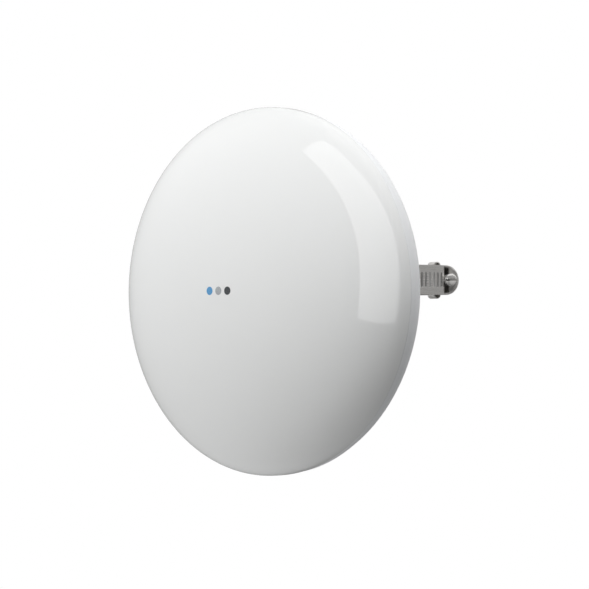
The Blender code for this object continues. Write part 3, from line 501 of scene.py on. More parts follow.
def sidePoints(inset, count):
    across = curveRadius - shell["backRadius"] - inset
    deep = beadEnd - backAhead - inset
    made = []
    for i in range(count + 1):
        angle = math.pi / 2 * i / count
        made.append((shell["backRadius"] + across * max(math.cos(angle), 0.0) ** shell["flatness"],
                     beadEnd - deep * math.sin(angle) ** shell["flatness"]))
    return made


def makeRearShell():
    seat = shell["tongueFit"]
    tongueRadius = coverRadius - seat
    tongueInner = tongueRadius - shell["tongueWall"]
    innerBack = backAhead + shell["wall"]
    boss = socketRadius + shell["wall"]
    foot = math.degrees(math.asin((innerBack - ballAhead) / boss))
    ledge = beadTop - 0.0008
    tongueTop = rimAhead - 0.0005
    groove = (coverEnd + 0.0024, coverEnd + 0.0006, 0.0014)
    recess = shell["recessRadius"]
    profile = arcPoints((0, ballAhead), boss, 90, foot, 14)
    profile += list(reversed(sidePoints(shell["wall"], shell["curve"])))
    profile += [(tongueInner - 0.0018, ledge - 0.0016), (tongueInner - 0.0018, ledge),
                (tongueInner, ledge), (tongueInner, tongueTop), (tongueRadius, tongueTop),
                (tongueRadius, groove[0]), (tongueRadius - groove[2], groove[0]),
                (tongueRadius - groove[2], groove[1]), (tongueRadius, groove[1]),
                (tongueRadius, beadTop), (beadRadius, beadTop), (beadRadius, beadEnd),
                (curveRadius, beadEnd)]
    profile += sidePoints(0, shell["curve"])[1:]
    profile += [(recess + 0.0006, backAhead), (recess, backAhead + shell["recessDepth"]),
                (neckRadius + 0.004, backAhead + shell["recessDepth"]),
                (neckRadius + 0.0018, backAhead), (neckRadius, backAhead - 0.0018),
                (neckRadius, neckEnd), (socketRadius, neckEnd)]
    profile += arcPoints((0, ballAhead), socketRadius, 0, 90, 16)
    profile[0], profile[-1] = (0.0, profile[0][1]), (0.0, profile[-1][1])
    body = spin("rear_cover_shell", softCorners(profile, 0.0004), shell["steps"])
    for tool, operation in bayTools(innerBack):
        cut(body, tool, operation)
    ease(body, 0.00025, 2, 50)
    stand(body, "head", satinWhite, "satin_white", "rear_shell")


bay = {"half": 0.016, "wall": 0.002, "edge": fit, "bossRadius": 0.0034, "holeRadius": 0.0017,
       "buttonHole": 0.0019}
vent = {"stem": 0.0037, "dish": 0.0028, "dishDepth": 0.0004}
jackLow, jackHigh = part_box("ethernet_jack")
bayTop = jackLow[2] - 0.0004
bayAhead = -jackLow[1] + 0.001
portLow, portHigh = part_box("port_cover")


def bayTools(innerBack):
    # walls, bosses and openings of the rear shell, each with the way it joins the shell
    half, wall, edge = bay["half"], bay["wall"], bay["edge"]
    out = -coverRadius - 0.01
    walls = bar("bay_walls", (-half - wall, -bayAhead - wall, out + 0.005),
                (half + wall, -backAhead + 0.005, bayTop + wall), 0.0006)
    limit = spin("bay_limit", [(0.0, beadEnd)] + sidePoints(shell["wall"] / 2, shell["curve"])
                 + [(0.0, backAhead + shell["wall"] / 2)], shell["steps"])
    cut(walls, limit, "INTERSECT")
    tools = [(walls, "UNION")]
    boardRear = -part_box("main_board")[1][1]
    bosses, holes = [], []
    for number in range(1, 5):
        x, _, z = middleOf(f"board_screw_{number}")
        bosses.append(spin("boss", [(0.0, innerBack - 0.0012), (bay["bossRadius"], innerBack - 0.0012),
                                    (bay["bossRadius"] - 0.0003, boardRear - 0.0003),
                                    (0.0, boardRear - 0.0003)], 32, place=(x, 0.0, z)))
        holes.append(rod("hole", bay["holeRadius"], innerBack + 0.001, boardRear + 0.001, 24,
                         place=(x, 0.0, z)))
    tools.append((join("bosses", bosses), "UNION"))
    cuts = [bar("bay_cut", (-half, -bayAhead, out), (half, -backAhead + 0.01, bayTop)),
            bar("jack_cut", (jackLow[0] - edge, jackLow[1] - edge, bayTop - 0.001),
                (jackHigh[0] + edge, jackHigh[1] + edge, bayTop + wall + 0.001))]
    for name in ["light_pipe_1", "light_pipe_2", "light_pipe_3", "vent_plug"]:
        x, _, z = middleOf(name)
        radius = (vent["stem"] if name == "vent_plug" else turnedSizes(name)[0]) + edge
        cuts.append(rod("hole", radius, backAhead - 0.004, innerBack + 0.004, 40, place=(x, 0.0, z)))
    x, y, _ = middleOf("reset_button")
    cuts.append(rod("hole", bay["buttonHole"], bayTop - 0.002, bayTop + 0.005, 32, axis="up",
                    place=(x, y, 0.0)))
    tools += [(tool, "DIFFERENCE") for tool in cuts + [join("pilot_holes", holes)]]
    return tools


ridge = {"count": 4, "first": 0.0642, "step": 0.0020, "halfAngle": 8.0, "thickness": 0.00045}


def makePortCover():
    outer, inner = sidePoints(0, shell["curve"]), sidePoints(shell["wall"], shell["curve"])
    edge = -bayTop - 0.004
    profile = outer + [(edge, backAhead), (edge, backAhead + shell["wall"])]
    body = spin("port_cover_shell", profile + list(reversed(inner)), shell["steps"], True)
    limit = bar("port_limit", (portLow[0], -bayAhead + fit, -coverRadius - 0.01),
                (portHigh[0], -backAhead + 0.01, bayTop - fit))
    cut(body, limit, "INTERSECT")
    low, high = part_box("cable_grommet")
    radius = (high[0] - low[0]) / 2 + fit
    cut(body, rod("cable_hole", radius, low[2] - 0.01, high[2] + 0.01, 64, axis="up",
                  place=(0.0, (low[1] + high[1]) / 2, 0.0)))
    ease(body, 0.0003, 2, 50)
    ridges = nodeShape("port_ridges", ridgeTree, {
        "Count": ridge["count"], "First Radius": ridge["first"], "Step": ridge["step"],
        "Half Angle": math.radians(ridge["halfAngle"]), "Thickness": ridge["thickness"],
        "Back Radius": shell["backRadius"], "Across": curveRadius - shell["backRadius"],
        "Deep": beadEnd - backAhead, "Flatness": shell["flatness"], "Curve Start": beadEnd},
        satinWhite)
    stand(join("port_cover_shell", [body, ridges]), "bay_cover", satinWhite, "satin_white",
          "port_cover")


def ridgeTree(graph, given):
    # arcs about the forward axis, each at its own radius and on the cover's own curve
    index = graph.node("GeometryNodeInputIndex")
    radius = given["First Radius"] + index * given["Step"]
    cosine = graph.calc("POWER", (radius - given["Back Radius"]) / given["Across"],
                        1.0 / given["Flatness"])
    sine = graph.calc("SQRT", 1.0 - cosine * cosine, 0.0)
    distance = given["Curve Start"] - given["Deep"] * graph.calc("POWER", sine, given["Flatness"])
    line = graph.node("GeometryNodeMeshLine", None, {"Count": given["Count"]})
    points = graph.node("GeometryNodeMeshToPoints", None, {"Mesh": line})
    placed = graph.node("GeometryNodeSetPosition", None, {
        "Geometry": points,
        "Position": graph.xyz(y=-1.0 * distance)})
    arc = graph.node("GeometryNodeCurveArc", {"mode": "RADIUS"}, {
        "Resolution": 24, "Radius": 1.0, "Start Angle": -math.pi / 2 - given["Half Angle"],
        "Sweep Angle": given["Half Angle"] * 2.0})
    upright = graph.node("GeometryNodeTransform", None,
                         {"Geometry": arc, "Rotation": (math.pi / 2, 0.0, 0.0)})
    ring = graph.node("GeometryNodeCurvePrimitiveCircle", {"mode": "RADIUS"}, {
        "Resolution": 12, "Radius": given["Thickness"] / given["First Radius"]})
    rod = graph.node("GeometryNodeCurveToMesh", None,
                     {"Curve": upright, "Profile Curve": ring, "Fill Caps": True})
    return graph.node("GeometryNodeInstanceOnPoints", None, {
        "Points": placed, "Instance": rod,
        "Scale": graph.xyz(radius, radius, radius)})


def nodeShape(name, plan, values, material):
    # a node tree with the named inputs, run once and kept as a plain mesh
    kinds = {int: "NodeSocketInt", float: "NodeSocketFloat", bpy.types.Object: "NodeSocketObject"}
    tree = bpy.data.node_groups.new(name, "GeometryNodeTree")
    tree.interface.new_socket("Geometry", in_out="OUTPUT", socket_type="NodeSocketGeometry")
    sockets = {label: tree.interface.new_socket(label, in_out="INPUT", socket_type=kinds[type(value)])
               for label, value in values.items()}
    graph = Graph(tree)
    source = tree.nodes.new("NodeGroupInput")
    given = {label: Wire(graph, source.outputs[label]) for label in values}
    whole = graph.node("GeometryNodeRealizeInstances", None, {"Geometry": plan(graph, given)})
    painted = graph.node("GeometryNodeSetMaterial", None, {"Geometry": whole, "Material": material})
    end = tree.nodes.new("NodeGroupOutput")
    tree.links.new(painted.socket, end.inputs[0])
    piece = addObject(name, bpy.data.meshes.new(name))
    change = piece.modifiers.new("Nodes", "NODES")
    change.node_group = tree
    for label, value in values.items():
        change[sockets[label].identifier] = value
    settle(piece)
    shadeByAngle(piece)
    return piece


def makeSmallHeadParts():
    low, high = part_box("cable_grommet")
    radius, bore = (high[0] - low[0]) / 2, 0.003
    top, bottom = high[2], low[2]
    ring = [(bore, top), (radius, top), (radius, bottom + 0.006), (radius - 0.0008, bottom + 0.0054),
            (radius - 0.0008, bottom + 0.0046), (radius, bottom + 0.004), (radius, bottom + 0.0016),
            (radius - 0.0012, bottom), (bore, bottom)]
    grommet = spin("cable_grommet_body", softCorners(ring, 0.0004, True), 64, True, "up",
                   (0.0, (low[1] + high[1]) / 2, 0.0))
    stand(grommet, "bay_cover", blackRubber, "black_rubber", "cable_grommet")
    head, front, rear = turnedSizes("vent_plug")
    stem, dish, floor = vent["stem"], vent["dish"], rear + vent["dishDepth"]
    cap = [(0.0, front), (stem, front), (stem, rear + 0.0016), (head, rear + 0.0016),
           (head, rear + 0.0006), (head - 0.0006, rear), (dish, rear), (0.0024, floor), (0.0, floor)]
    x, _, z = middleOf("vent_plug")
    plug = spin("vent_plug_body", softCorners(cap, 0.0002), 48, place=(x, 0.0, z))
    stand(plug, "head", greyPlastic, "grey_plastic", "vent_plug")
    for number in (1, 2, 3):
        radius, front, rear = turnedSizes(f"light_pipe_{number}")
        outline = [(0.0, front), (radius, front), (radius, rear + 0.0003), (radius * 0.6, rear),
                   (0.0, rear - 0.0001)]
        x, _, z = middleOf(f"light_pipe_{number}")
        pipe = spin(f"light_pipe_body_{number}", softCorners(outline, 0.0002), 32,
                    place=(x, 0.0, z))
        stand(pipe, "head", clearLens, "clear_lens", f"light_pipe_{number}")


jack = {"contacts": 8, "pitch": 0.00102, "width": 0.0004, "depth": 0.0005, "length": 0.009}


def makeJackContacts():
    contacts = nodeShape("jack_contacts", contactTree, {
        "Count": jack["contacts"], "Pitch": jack["pitch"], "Width": jack["width"],
        "Depth": jack["depth"], "Length": jack["length"],
        "Ahead": jackHigh[1] - 0.0030, "Height": jackLow[2] + 0.0078}, goldPlate)
    stand(contacts, "head", goldPlate, "tin_plate")


def contactTree(graph, given):
    span = given["Pitch"] * (given["Count"] - 1.0)
    start = graph.xyz(span * -0.5, given["Ahead"], given["Height"])
    line = graph.node("GeometryNodeMeshLine", None, {
        "Count": given["Count"], "Start Location": start,
        "Offset": graph.xyz(given["Pitch"])})
    size = graph.xyz(given["Width"], given["Depth"], given["Length"])
    pin = graph.node("GeometryNodeMeshCube", None, {"Size": size})
    return graph.node("GeometryNodeInstanceOnPoints", None, {"Points": line, "Instance": pin})


nut = {"lands": 8, "scallop": 0.0052, "offset": 0.0032, "ribs": 5,
       "ribStep": 4.6, "ribWidth": 0.0007, "ribHeight": 0.0008, "ribLength": 0.0068}
nutLow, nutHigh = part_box("lock_nut")
nutRadius = (nutHigh[0] - nutLow[0]) / 2 - 0.0004


def makeNut():
    front, back = -nutLow[1], -nutHigh[1]
    bore = neckRadius + 0.0004
    shoulder = back + 0.002
    mouth = 0.0146
    edge = nutRadius
    profile = [(bore, front), (edge - 0.0012, front), (edge, front - 0.0012),
               (edge, ballAhead - 0.0025), (edge - 0.0012, shoulder + 0.0019),
               (edge - 0.0076, back), (mouth + 0.0008, back), (mouth, back + 0.001),
               (mouth, shoulder), (bore - 0.002, shoulder), (bore, shoulder + 0.002)]
    body = spin("lock_nut_body", softCorners(profile, 0.0008, True), 160, True)
    grips = []
    for number in range(nut["lands"]):
        angle = 2 * math.pi * (number + 0.5) / nut["lands"]
        reach = nutRadius + 0.0004 + nut["offset"]
        grips.append(rod("grip", nut["scallop"], back - 0.01, front + 0.01, 64,
                         place=(reach * math.cos(angle), 0.0, reach * math.sin(angle))))
    cut(body, join("grips", grips))
    ease(body, 0.0006, 3, 30)
    ribs = nodeShape("nut_ribs", ribTree, {
        "Lands": nut["lands"], "Ribs": nut["ribs"], "Radius": nutRadius,
        "Rib Step": math.radians(nut["ribStep"]), "Width": nut["ribWidth"],
        "Height": nut["ribHeight"], "Length": nut["ribLength"],
        "Middle": -ballAhead - 0.0020}, greyPlastic)
    stand(join("lock_nut_body", [body, ribs]), "nut", greyPlastic, "grey_plastic", "lock_nut")


def ribTree(graph, given):
    # a few ribs along the axis on each land between two scallops
    index = graph.node("GeometryNodeInputIndex")
    land = graph.calc("FLOOR", index / given["Ribs"], 0.0)
    place = index - land * given["Ribs"] - (given["Ribs"] - 1.0) * 0.5
    angle = land * (2 * math.pi) / given["Lands"] + place * given["Rib Step"]
    spot = graph.xyz(given["Radius"] * graph.calc("COSINE", angle, 0.0), given["Middle"],
                     given["Radius"] * graph.calc("SINE", angle, 0.0))
    line = graph.node("GeometryNodeMeshLine", None, {"Count": given["Lands"] * given["Ribs"]})
    points = graph.node("GeometryNodeSetPosition", None, {
        "Geometry": graph.node("GeometryNodeMeshToPoints", None, {"Mesh": line}), "Position": spot})
    size = graph.xyz(given["Height"], given["Length"], given["Width"])
    block = graph.node("GeometryNodeMeshCube", None, {
        "Size": size, "Vertices X": 3, "Vertices Y": 6, "Vertices Z": 3})
    rib = graph.node("GeometryNodeSubdivisionSurface", None, {"Mesh": block, "Level": 1})
    return graph.node("GeometryNodeInstanceOnPoints", None, {
        "Points": points, "Instance": rib,
        "Rotation": graph.xyz(y=-1.0 * angle)})


def makeSeats():
    outer, front, rear = turnedSizes("slip_washer")
    ring = [(outer - 0.0036, front), (outer, front), (outer, rear), (outer - 0.0036, rear)]
    washer = spin("slip_washer_ring", softCorners(ring, 0.0002, True), 96, True)
    stand(washer, "washer", matteSteel, "steel", "slip_washer")
    outer, front, rear = turnedSizes("ball_seat_rear")
    sphere = bracket["ballRadius"] + fit
    ring = [(outer, front), (outer, rear)]
    ring += arcPoints((0, ballAhead), sphere, -math.degrees(math.asin((ballAhead - rear) / sphere)),
                      math.degrees(math.asin((front - ballAhead) / sphere)), 24)
    seat = spin("ball_seat_rear_ring", softCorners(ring, 0.0002, True), 96, True)
    stand(seat, "rear_seat", acetal, "acetal", "ball_seat_rear")


bracket = {"faceHalf": 0.015, "chamfer": 0.0085, "relief": 0.0022, "reliefDepth": 0.001,
           "webHalf": 0.013, "slot": 0.003, "plate": 0.0037, "edge": 0.0009, "ballRadius": 0.014,
           "stemRadius": 0.006, "flare": 0.0025, "sideRoom": 0.0008}
pocket = {"side": 0.0195, "half": 0.0032, "front": 0.0245, "rear": 0.0155, "depth": 0.0055,
          "rounding": 0.0012}
bracketLow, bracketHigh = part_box("pole_bracket")
bandLow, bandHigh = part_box("clamp_band")
jawAngle = math.radians(25)
poleRadius = 0.0212
jawRoot = poleRadius / math.cos(jawAngle)
strapMiddle = (bandLow[2] + bandHigh[2]) / 2
plateAhead = ballAhead - 0.0215
slotFront = plateAhead - bracket["plate"]
slotRear = slotFront - bracket["slot"]


def makeBracket():
    half, tip = bracketHigh[0], bracketHigh[0] - 0.0025
    relief, face = bracket["relief"], bracket["faceHalf"]
    right = [(face, -plateAhead), (half, -plateAhead + bracket["chamfer"]),
             (half, tip * math.tan(jawAngle) - jawRoot - 0.002),
             (tip, tip * math.tan(jawAngle) - jawRoot),
             (relief, relief * math.tan(jawAngle) - jawRoot),
             (relief, -jawRoot - bracket["reliefDepth"])]
    outline = right + [(-x, y) for x, y in reversed(right)]
    body = prism("pole_bracket_body", [softCorners(outline, 0.0012, True)], bracketLow[2],
                 bracketHigh[2])
    low, high = bandLow[2] - bracket["sideRoom"], bandHigh[2] + bracket["sideRoom"]
    web = bracket["webHalf"]
    for side in (-1, 1):
        ends = sorted((side * web, side * (half + 0.01)))
        cut(body, bar("strap_side", (ends[0], -slotFront - 0.0003, low), (ends[1], 0.01, high)))
    cut(body, bar("strap_slot", (-web - 0.002, -slotFront, low), (web + 0.002, -slotRear, high)))
    for side in (-1, 1):
        for level in (-1, 1):
            x, z = side * pocket["side"], bracketHigh[2] if level > 0 else bracketLow[2]
            half, deep = pocket["half"], pocket["depth"]
            cut(body, bar("pocket", (x - half, -pocket["front"], z - deep),
                          (x + half, -pocket["rear"], z + deep), pocket["rounding"]))
    ease(body, bracket["edge"], 3, 35)
    ball, stem = bracket["ballRadius"], bracket["stemRadius"]
    neck = math.degrees(math.acos(stem / ball))
    stud = arcPoints((0, ballAhead), ball, 90, -neck, 40)
    stud[0] = (0.0, stud[0][1])
    flare = [(stem + bracket["flare"] * (1 - math.cos(a)) , plateAhead + bracket["flare"] *
              (1 - math.sin(a))) for a in (math.radians(15 * k) for k in range(7))]
    stud += flare + [(stem + bracket["flare"], slotFront + 0.0012), (0.0, slotFront + 0.0012)]
    cut(body, spin("ball_stud", stud, 96), "UNION")
    shadeByAngle(body, 30)
    stand(body, "bracket", greyPlastic, "grey_plastic", "pole_bracket")


strap = {"thickness": 0.0006, "layerGap": 0.0005, "pitch": 0.003175, "slotWidth": 0.0014,
         "slotHeight": 0.008, "slots": 27, "plainTail": 2, "housingGap": 0.0016, "easeReach": 0.6,
         "housingLength": 0.026, "housingTurn": 65.0, "webTurn": 72.0, "webBend": 0.0032,
         "tailTurn": 30.0}
housingAngle = math.radians(160)
outward = Vector((math.sin(housingAngle), -math.cos(housingAngle), 0.0))
along = Vector((math.cos(housingAngle), math.sin(housingAngle), 0.0))
lowerLayer = poleRadius + strap["housingGap"]
upperLayer = lowerLayer + strap["thickness"] + strap["layerGap"]
strapTop = upperLayer + strap["thickness"] / 2
strapHalf = (bandHigh[2] - bandLow[2]) / 2


def polar(angle, radius):
    return Vector((radius * math.sin(angle), -radius * math.cos(angle), 0.0))


def heading(angle):
    return Vector((math.cos(angle), math.sin(angle), 0.0))


def bridge(start, startWay, end, endWay, count):
    reach = strap["easeReach"] * (end - start).length
    made = []
    for i in range(1, count):
        t = i / count
        made.append(start * (2 * t**3 - 3 * t**2 + 1) + startWay * reach * (t**3 - 2 * t**2 + t)
                    + end * (3 * t**2 - 2 * t**3) + endWay * reach * (t**3 - t**2))
    return made


def strapPoints():
    # middle line: fixed end under the worm, round the pole and the bracket's web, free tail
    half = strap["housingLength"] / 2
    turn = math.radians(strap["housingTurn"])
    leave, rejoin = housingAngle - turn, housingAngle + turn
    web, bend = math.radians(strap["webTurn"]), strap["webBend"]
    wrap = poleRadius + fit + strap["thickness"] / 2
    points = [along * (0.002 - half) + outward * lowerLayer, along * half + outward * lowerLayer]
    points += bridge(points[-1], along, polar(rejoin, wrap), heading(rejoin), 12)
    back = 2 * math.pi - web - rejoin
    points += [polar(rejoin + back * i / 24, wrap) for i in range(25)]
    corner = Vector((0.0015 - bracket["webHalf"], bend - (slotFront + slotRear) / 2, 0.0))
    points += [corner + polar(web * (i / 10 - 1), bend) for i in range(11)]
    corner.x = -corner.x
    points += [corner + polar(web * i / 10, bend) for i in range(11)]
    points += [polar(web + (leave - web) * i / 3, wrap) for i in range(4)]
    start = along * -half + outward * upperLayer
    points += bridge(points[-1], heading(leave), start, along, 16) + [start]
    points.append(along * half + outward * upperLayer)
    upper = wrap + strap["thickness"] + strap["layerGap"]
    points += bridge(points[-1], along, polar(rejoin, upper), heading(rejoin), 12)
    points += [polar(rejoin + math.radians(strap["tailTurn"]) * i / 8, upper) for i in range(9)]
    return points


def strapCell(name, slotted):
    # one pitch of flat strap: quads round a slot with round ends, or the same quads without it
    half, tall = strap["pitch"] / 2, strapHalf
    slot, straight = strap["slotWidth"] / 2, (strap["slotHeight"] - strap["slotWidth"]) / 2
    shelf = straight + 0.0012
    columns = [-half, -half / 3, half / 3, half]
    cage = bmesh.new()

    def quad(*corners):
        cage.faces.new([cage.verts.new((x, y, 0.0)) for x, y in corners])

    for low, high in ((shelf, tall), (-tall, -shelf)):
        for a, b in zip(columns, columns[1:]):
            quad((a, low), (b, low), (b, high), (a, high))
    if slotted:
        rim, frameLine = [], []
        for sign in (1, -1):
            for k in range(6):
                angle = math.radians(180 * k / 5 if sign > 0 else 180 + 180 * k / 5)
                rim.append((slot * math.cos(angle), sign * straight + slot * math.sin(angle)))
            edge = [(half, straight), (half, shelf), (half / 3, shelf), (-half / 3, shelf),
                    (-half, shelf), (-half, straight)]
            frameLine += edge if sign > 0 else [(-x, -y) for x, y in edge]
        for i in range(len(rim)):
            j = (i + 1) % len(rim)
            quad(rim[i], frameLine[i], frameLine[j], rim[j])
    else:
        rows = [-shelf, -straight, straight, shelf]
        for low, high in zip(rows, rows[1:]):
            for a, b in zip(columns, columns[1:]):
                quad((a, low), (b, low), (b, high), (a, high))
    bmesh.ops.remove_doubles(cage, verts=cage.verts, dist=1e-6)
    bmesh.ops.recalc_face_normals(cage, faces=cage.faces)
    return meshObject(name, cage)


def strapTree(graph, given):
    # cells in a row, merged to one sheet and laid along the path; the sheet keeps its flat place
    count = given["Cells"]
    line = graph.node("GeometryNodeMeshLine", None, {
        "Count": count, "Start Location": graph.xyz(given["Pitch"] * 0.5),
        "Offset": graph.xyz(given["Pitch"])})
    index = graph.node("GeometryNodeInputIndex")
    slotted = (index > count - given["Slots"] - given["Plain Tail"] - 0.5) * (
        index < count - given["Plain Tail"] - 0.5)
    sheet = None
    for label, share in (("Plain Cell", 1.0 - slotted), ("Slotted Cell", slotted)):
        cell = graph.node("GeometryNodeObjectInfo", {"transform_space": "ORIGINAL"},
                          {"Object": given[label], "As Instance": True}, "Geometry")
        row = graph.node("GeometryNodeInstanceOnPoints", None,
                         {"Points": line, "Selection": share, "Instance": cell})
        if sheet is None:
            sheet = graph.node("GeometryNodeJoinGeometry", None, {"Geometry": row})
        else:
            graph.tree.links.new(row.socket, sheet.socket.node.inputs["Geometry"])
    flat = graph.node("GeometryNodeMergeByDistance", None, {
        "Geometry": graph.node("GeometryNodeRealizeInstances", None, {"Geometry": sheet}),
        "Distance": 0.00002})
    kept = graph.node("GeometryNodeStoreNamedAttribute",
                      {"data_type": "FLOAT_VECTOR", "domain": "POINT"},
                      {"Geometry": flat, "Name": "strapPlace",
                       "Value": graph.node("GeometryNodeInputPosition")})
    place = graph.node("GeometryNodeInputPosition")
    split = graph.node("ShaderNodeSeparateXYZ", None, {"Vector": place}).socket.node
    distance, height = Wire(graph, split.outputs["X"]), Wire(graph, split.outputs["Y"])
    path = graph.node("GeometryNodeObjectInfo", None, {"Object": given["Path"]}, "Geometry")
    sample = graph.node("GeometryNodeSampleCurve", {"mode": "LENGTH"}, {
        "Curves": path, "Length": distance * given["Stretch"]}, "Position")
    lifted = graph.node("ShaderNodeVectorMath", {"operation": "ADD"}, {
        0: sample, 1: graph.xyz(z=height + given["Level"])})
    return graph.node("GeometryNodeSetPosition", None, {"Geometry": kept, "Position": lifted})


def makeStrap():
    points = strapPoints()
    curve = bpy.data.curves.new("strap_path", "CURVE")
    curve.dimensions = "3D"
    line = curve.splines.new("POLY")
    line.points.add(len(points) - 1)
    for knot, spot in zip(line.points, points):
        knot.co = (*spot, 1.0)
    path = addObject("strap_path", curve)
    total = sum((b - a).length for a, b in zip(points, points[1:]))
    cells = round(total / strap["pitch"])
    plain, slotted = strapCell("plain_cell", False), strapCell("slotted_cell", True)
    band = nodeShape("strap_band", strapTree, {
        "Cells": cells, "Slots": strap["slots"], "Plain Tail": strap["plainTail"],
        "Pitch": strap["pitch"], "Stretch": (total - 0.00002) / (cells * strap["pitch"]),
        "Level": strapMiddle, "Plain Cell": plain, "Slotted Cell": slotted, "Path": path},
        strapSteel)
    for helper in (plain, slotted, path):
        bpy.data.objects.remove(helper, do_unlink=True)
    wall = band.modifiers.new("Sheet", "SOLIDIFY")
    wall.thickness = strap["thickness"]
    wall.offset = 0.0
    wall.use_even_offset = True
    settle(band)
    ease(band, 0.00007, 1, 50)
    shadeByAngle(band, 28)
    stand(band, "bracket", strapSteel, "steel", "clamp_band")


housing = {"length": 0.026, "wall": 0.001, "arch": 0.008, "endRise": 0.0034, "edge": 0.00025,
           "wormRadius": 0.003, "headRadius": 0.0035, "headDepth": 0.003, "slotHalf": 0.0005,
           "slotDepth": 0.0013}
wormLine = strapTop + fit + housing["wormRadius"]


def housingFrame(shift):
    # own x is the part's up, own y is away from the pole, own z runs along the worm
    turn = Matrix(((0, outward.x, along.x), (0, outward.y, along.y), (1, 0, 0))).to_4x4()
    return Matrix.Translation(along * shift + Vector((0.0, 0.0, strapMiddle))) @ turn


def makeHousing():
    half, wall, length = housing["arch"], housing["wall"], housing["length"]
    foot = strapTop + fit
    spring = foot + 0.001
    inner = half - wall
    arch = [(half, foot)] + arcPoints((0, spring), half, 0, 180, 56) + [(-half, foot)]
    arch += [(-inner, foot)] + arcPoints((0, spring), inner, 180, 0, 56) + [(inner, foot)]
    body = prism("clamp_housing_body", [arch], -length / 2, length / 2, housingFrame(0))
    rise = strapTop + housing["endRise"]
    edge = half - wall / 2
    low = math.degrees(math.asin((rise - spring) / edge))
    outline = [(edge, rise)] + arcPoints((0, spring), edge, low, 180 - low, 40) + [(-edge, rise)]
    for side in (-1, 1):
        place = side * ((length - wall) / 2 - 0.0002)
        plate = prism("end_wall", [outline[1:-1]], -wall / 2, wall / 2, housingFrame(place))
        cut(body, plate, "UNION")
    notch = rod("notch", housing["wormRadius"] - 0.0004, -length, length, 48, axis="up")
    notch.data.transform(housingFrame(0) @ Matrix.Translation((0, wormLine, 0)))
    cut(body, notch)
    ease(body, housing["edge"], 2, 40)
    stand(body, "bracket", matteSteel, "steel", "clamp_housing")


saddle = {"wall": 0.0007, "curl": 0.0021, "length": 0.007, "shift": -0.0035}


def makeSaddle():
    # a tray under the strap whose sides curl out and round the strap's edges
    wall, curl = saddle["wall"], saddle["curl"]
    low = lowerLayer - strap["thickness"] / 2 - fit - wall
    edge = strapHalf + 0.002 - curl
    middle = low + curl
    outer = arcPoints((edge, middle), curl, -90, 118, 28)
    inner = arcPoints((edge, middle), curl - wall, 118, -90, 28)
    side = outer + softCorners([outer[-1], inner[0]], 0.0002)[1:-1] + inner
    tray = side + [(-x, n) for x, n in reversed(side)]
    body = prism("clamp_saddle_body", [tray], -saddle["length"] / 2, saddle["length"] / 2,
                 housingFrame(saddle["shift"]))
    ease(body, 0.0002, 2, 40)
    stand(body, "bracket", matteSteel, "steel", "clamp_saddle")


def makeScrew():
    half = housing["length"] / 2
    radius, head = housing["wormRadius"], housing["headRadius"]
    journal = radius - 0.0007
    seat = half + fit
    end = seat + housing["headDepth"]
    worm = half - housing["wall"] - 0.0009
    core = radius - 0.0007
    profile = [(0.0, half + 0.0006), (journal, half + 0.0006), (journal, worm), (core, worm - 0.0005),
               (core, -worm + 0.0005), (journal, -worm), (journal, -seat), (head - 0.0003, -seat),
               (head, -seat - 0.0004), (head, -end + 0.0009), (head - 0.0009, -end), (0.0, -end)]
    body = spin("clamp_screw_body", softCorners(profile, 0.0004), 72, axis="up")
    cut(body, bar("screw_slot", (-housing["slotHalf"], -0.005, -end - 0.001),
                  (housing["slotHalf"], 0.005, -end + housing["slotDepth"])))
    ease(body, 0.00012, 2, 40)
    thread = nodeShape("worm_thread", threadTree, {
        "Turns": 2 * (worm - 0.0008) / strap["pitch"], "Length": 2 * (worm - 0.0008),
        "Radius": core, "Height": radius - core}, brightSteel)
    body = join("clamp_screw_body", [body, thread])
    body.data.transform(housingFrame(0) @ Matrix.Translation((0, wormLine, 0)))
    shadeByAngle(body)
    stand(body, "worm", brightSteel, "steel", "clamp_screw")


def threadTree(graph, given):
    # a rounded ridge wound round the worm's core
    helix = graph.node("GeometryNodeCurveSpiral", None, {
        "Resolution": 40, "Rotations": given["Turns"], "Start Radius": given["Radius"],
        "End Radius": given["Radius"], "Height": given["Length"]})
    centred = graph.node("GeometryNodeTransform", None, {
        "Geometry": helix, "Translation": graph.xyz(z=given["Length"] * -0.5)})
    ring = graph.node("GeometryNodeCurvePrimitiveCircle", {"mode": "RADIUS"},
                      {"Resolution": 10, "Radius": given["Height"]})
    return graph.node("GeometryNodeCurveToMesh", None,
                      {"Curve": centred, "Profile Curve": ring, "Fill Caps": True})


innerFinishes = {
    "rim_gasket": blackRubber, "reflector_dish": aluminium, "feed_tube": satinWhite,
    "sub_reflector": aluminium, "main_board": boardGreen, "rf_shield_can": tinPlate,
    "poe_transformer": ferrite, "ethernet_jack": tinPlate, "reset_switch": greyPlastic,
    "reset_button": greyPlastic, "ball_seat_front": acetal}
innerFinishes.update({f"status_led_{number}": clearLens for number in (1, 2, 3)})
innerFinishes.update({f"board_screw_{number}": brightSteel for number in (1, 2, 3, 4)})


def paintInnerParts():
    for node, material in innerFinishes.items():
        for slot in bpy.data.objects[node].material_slots:
            slot.material = material


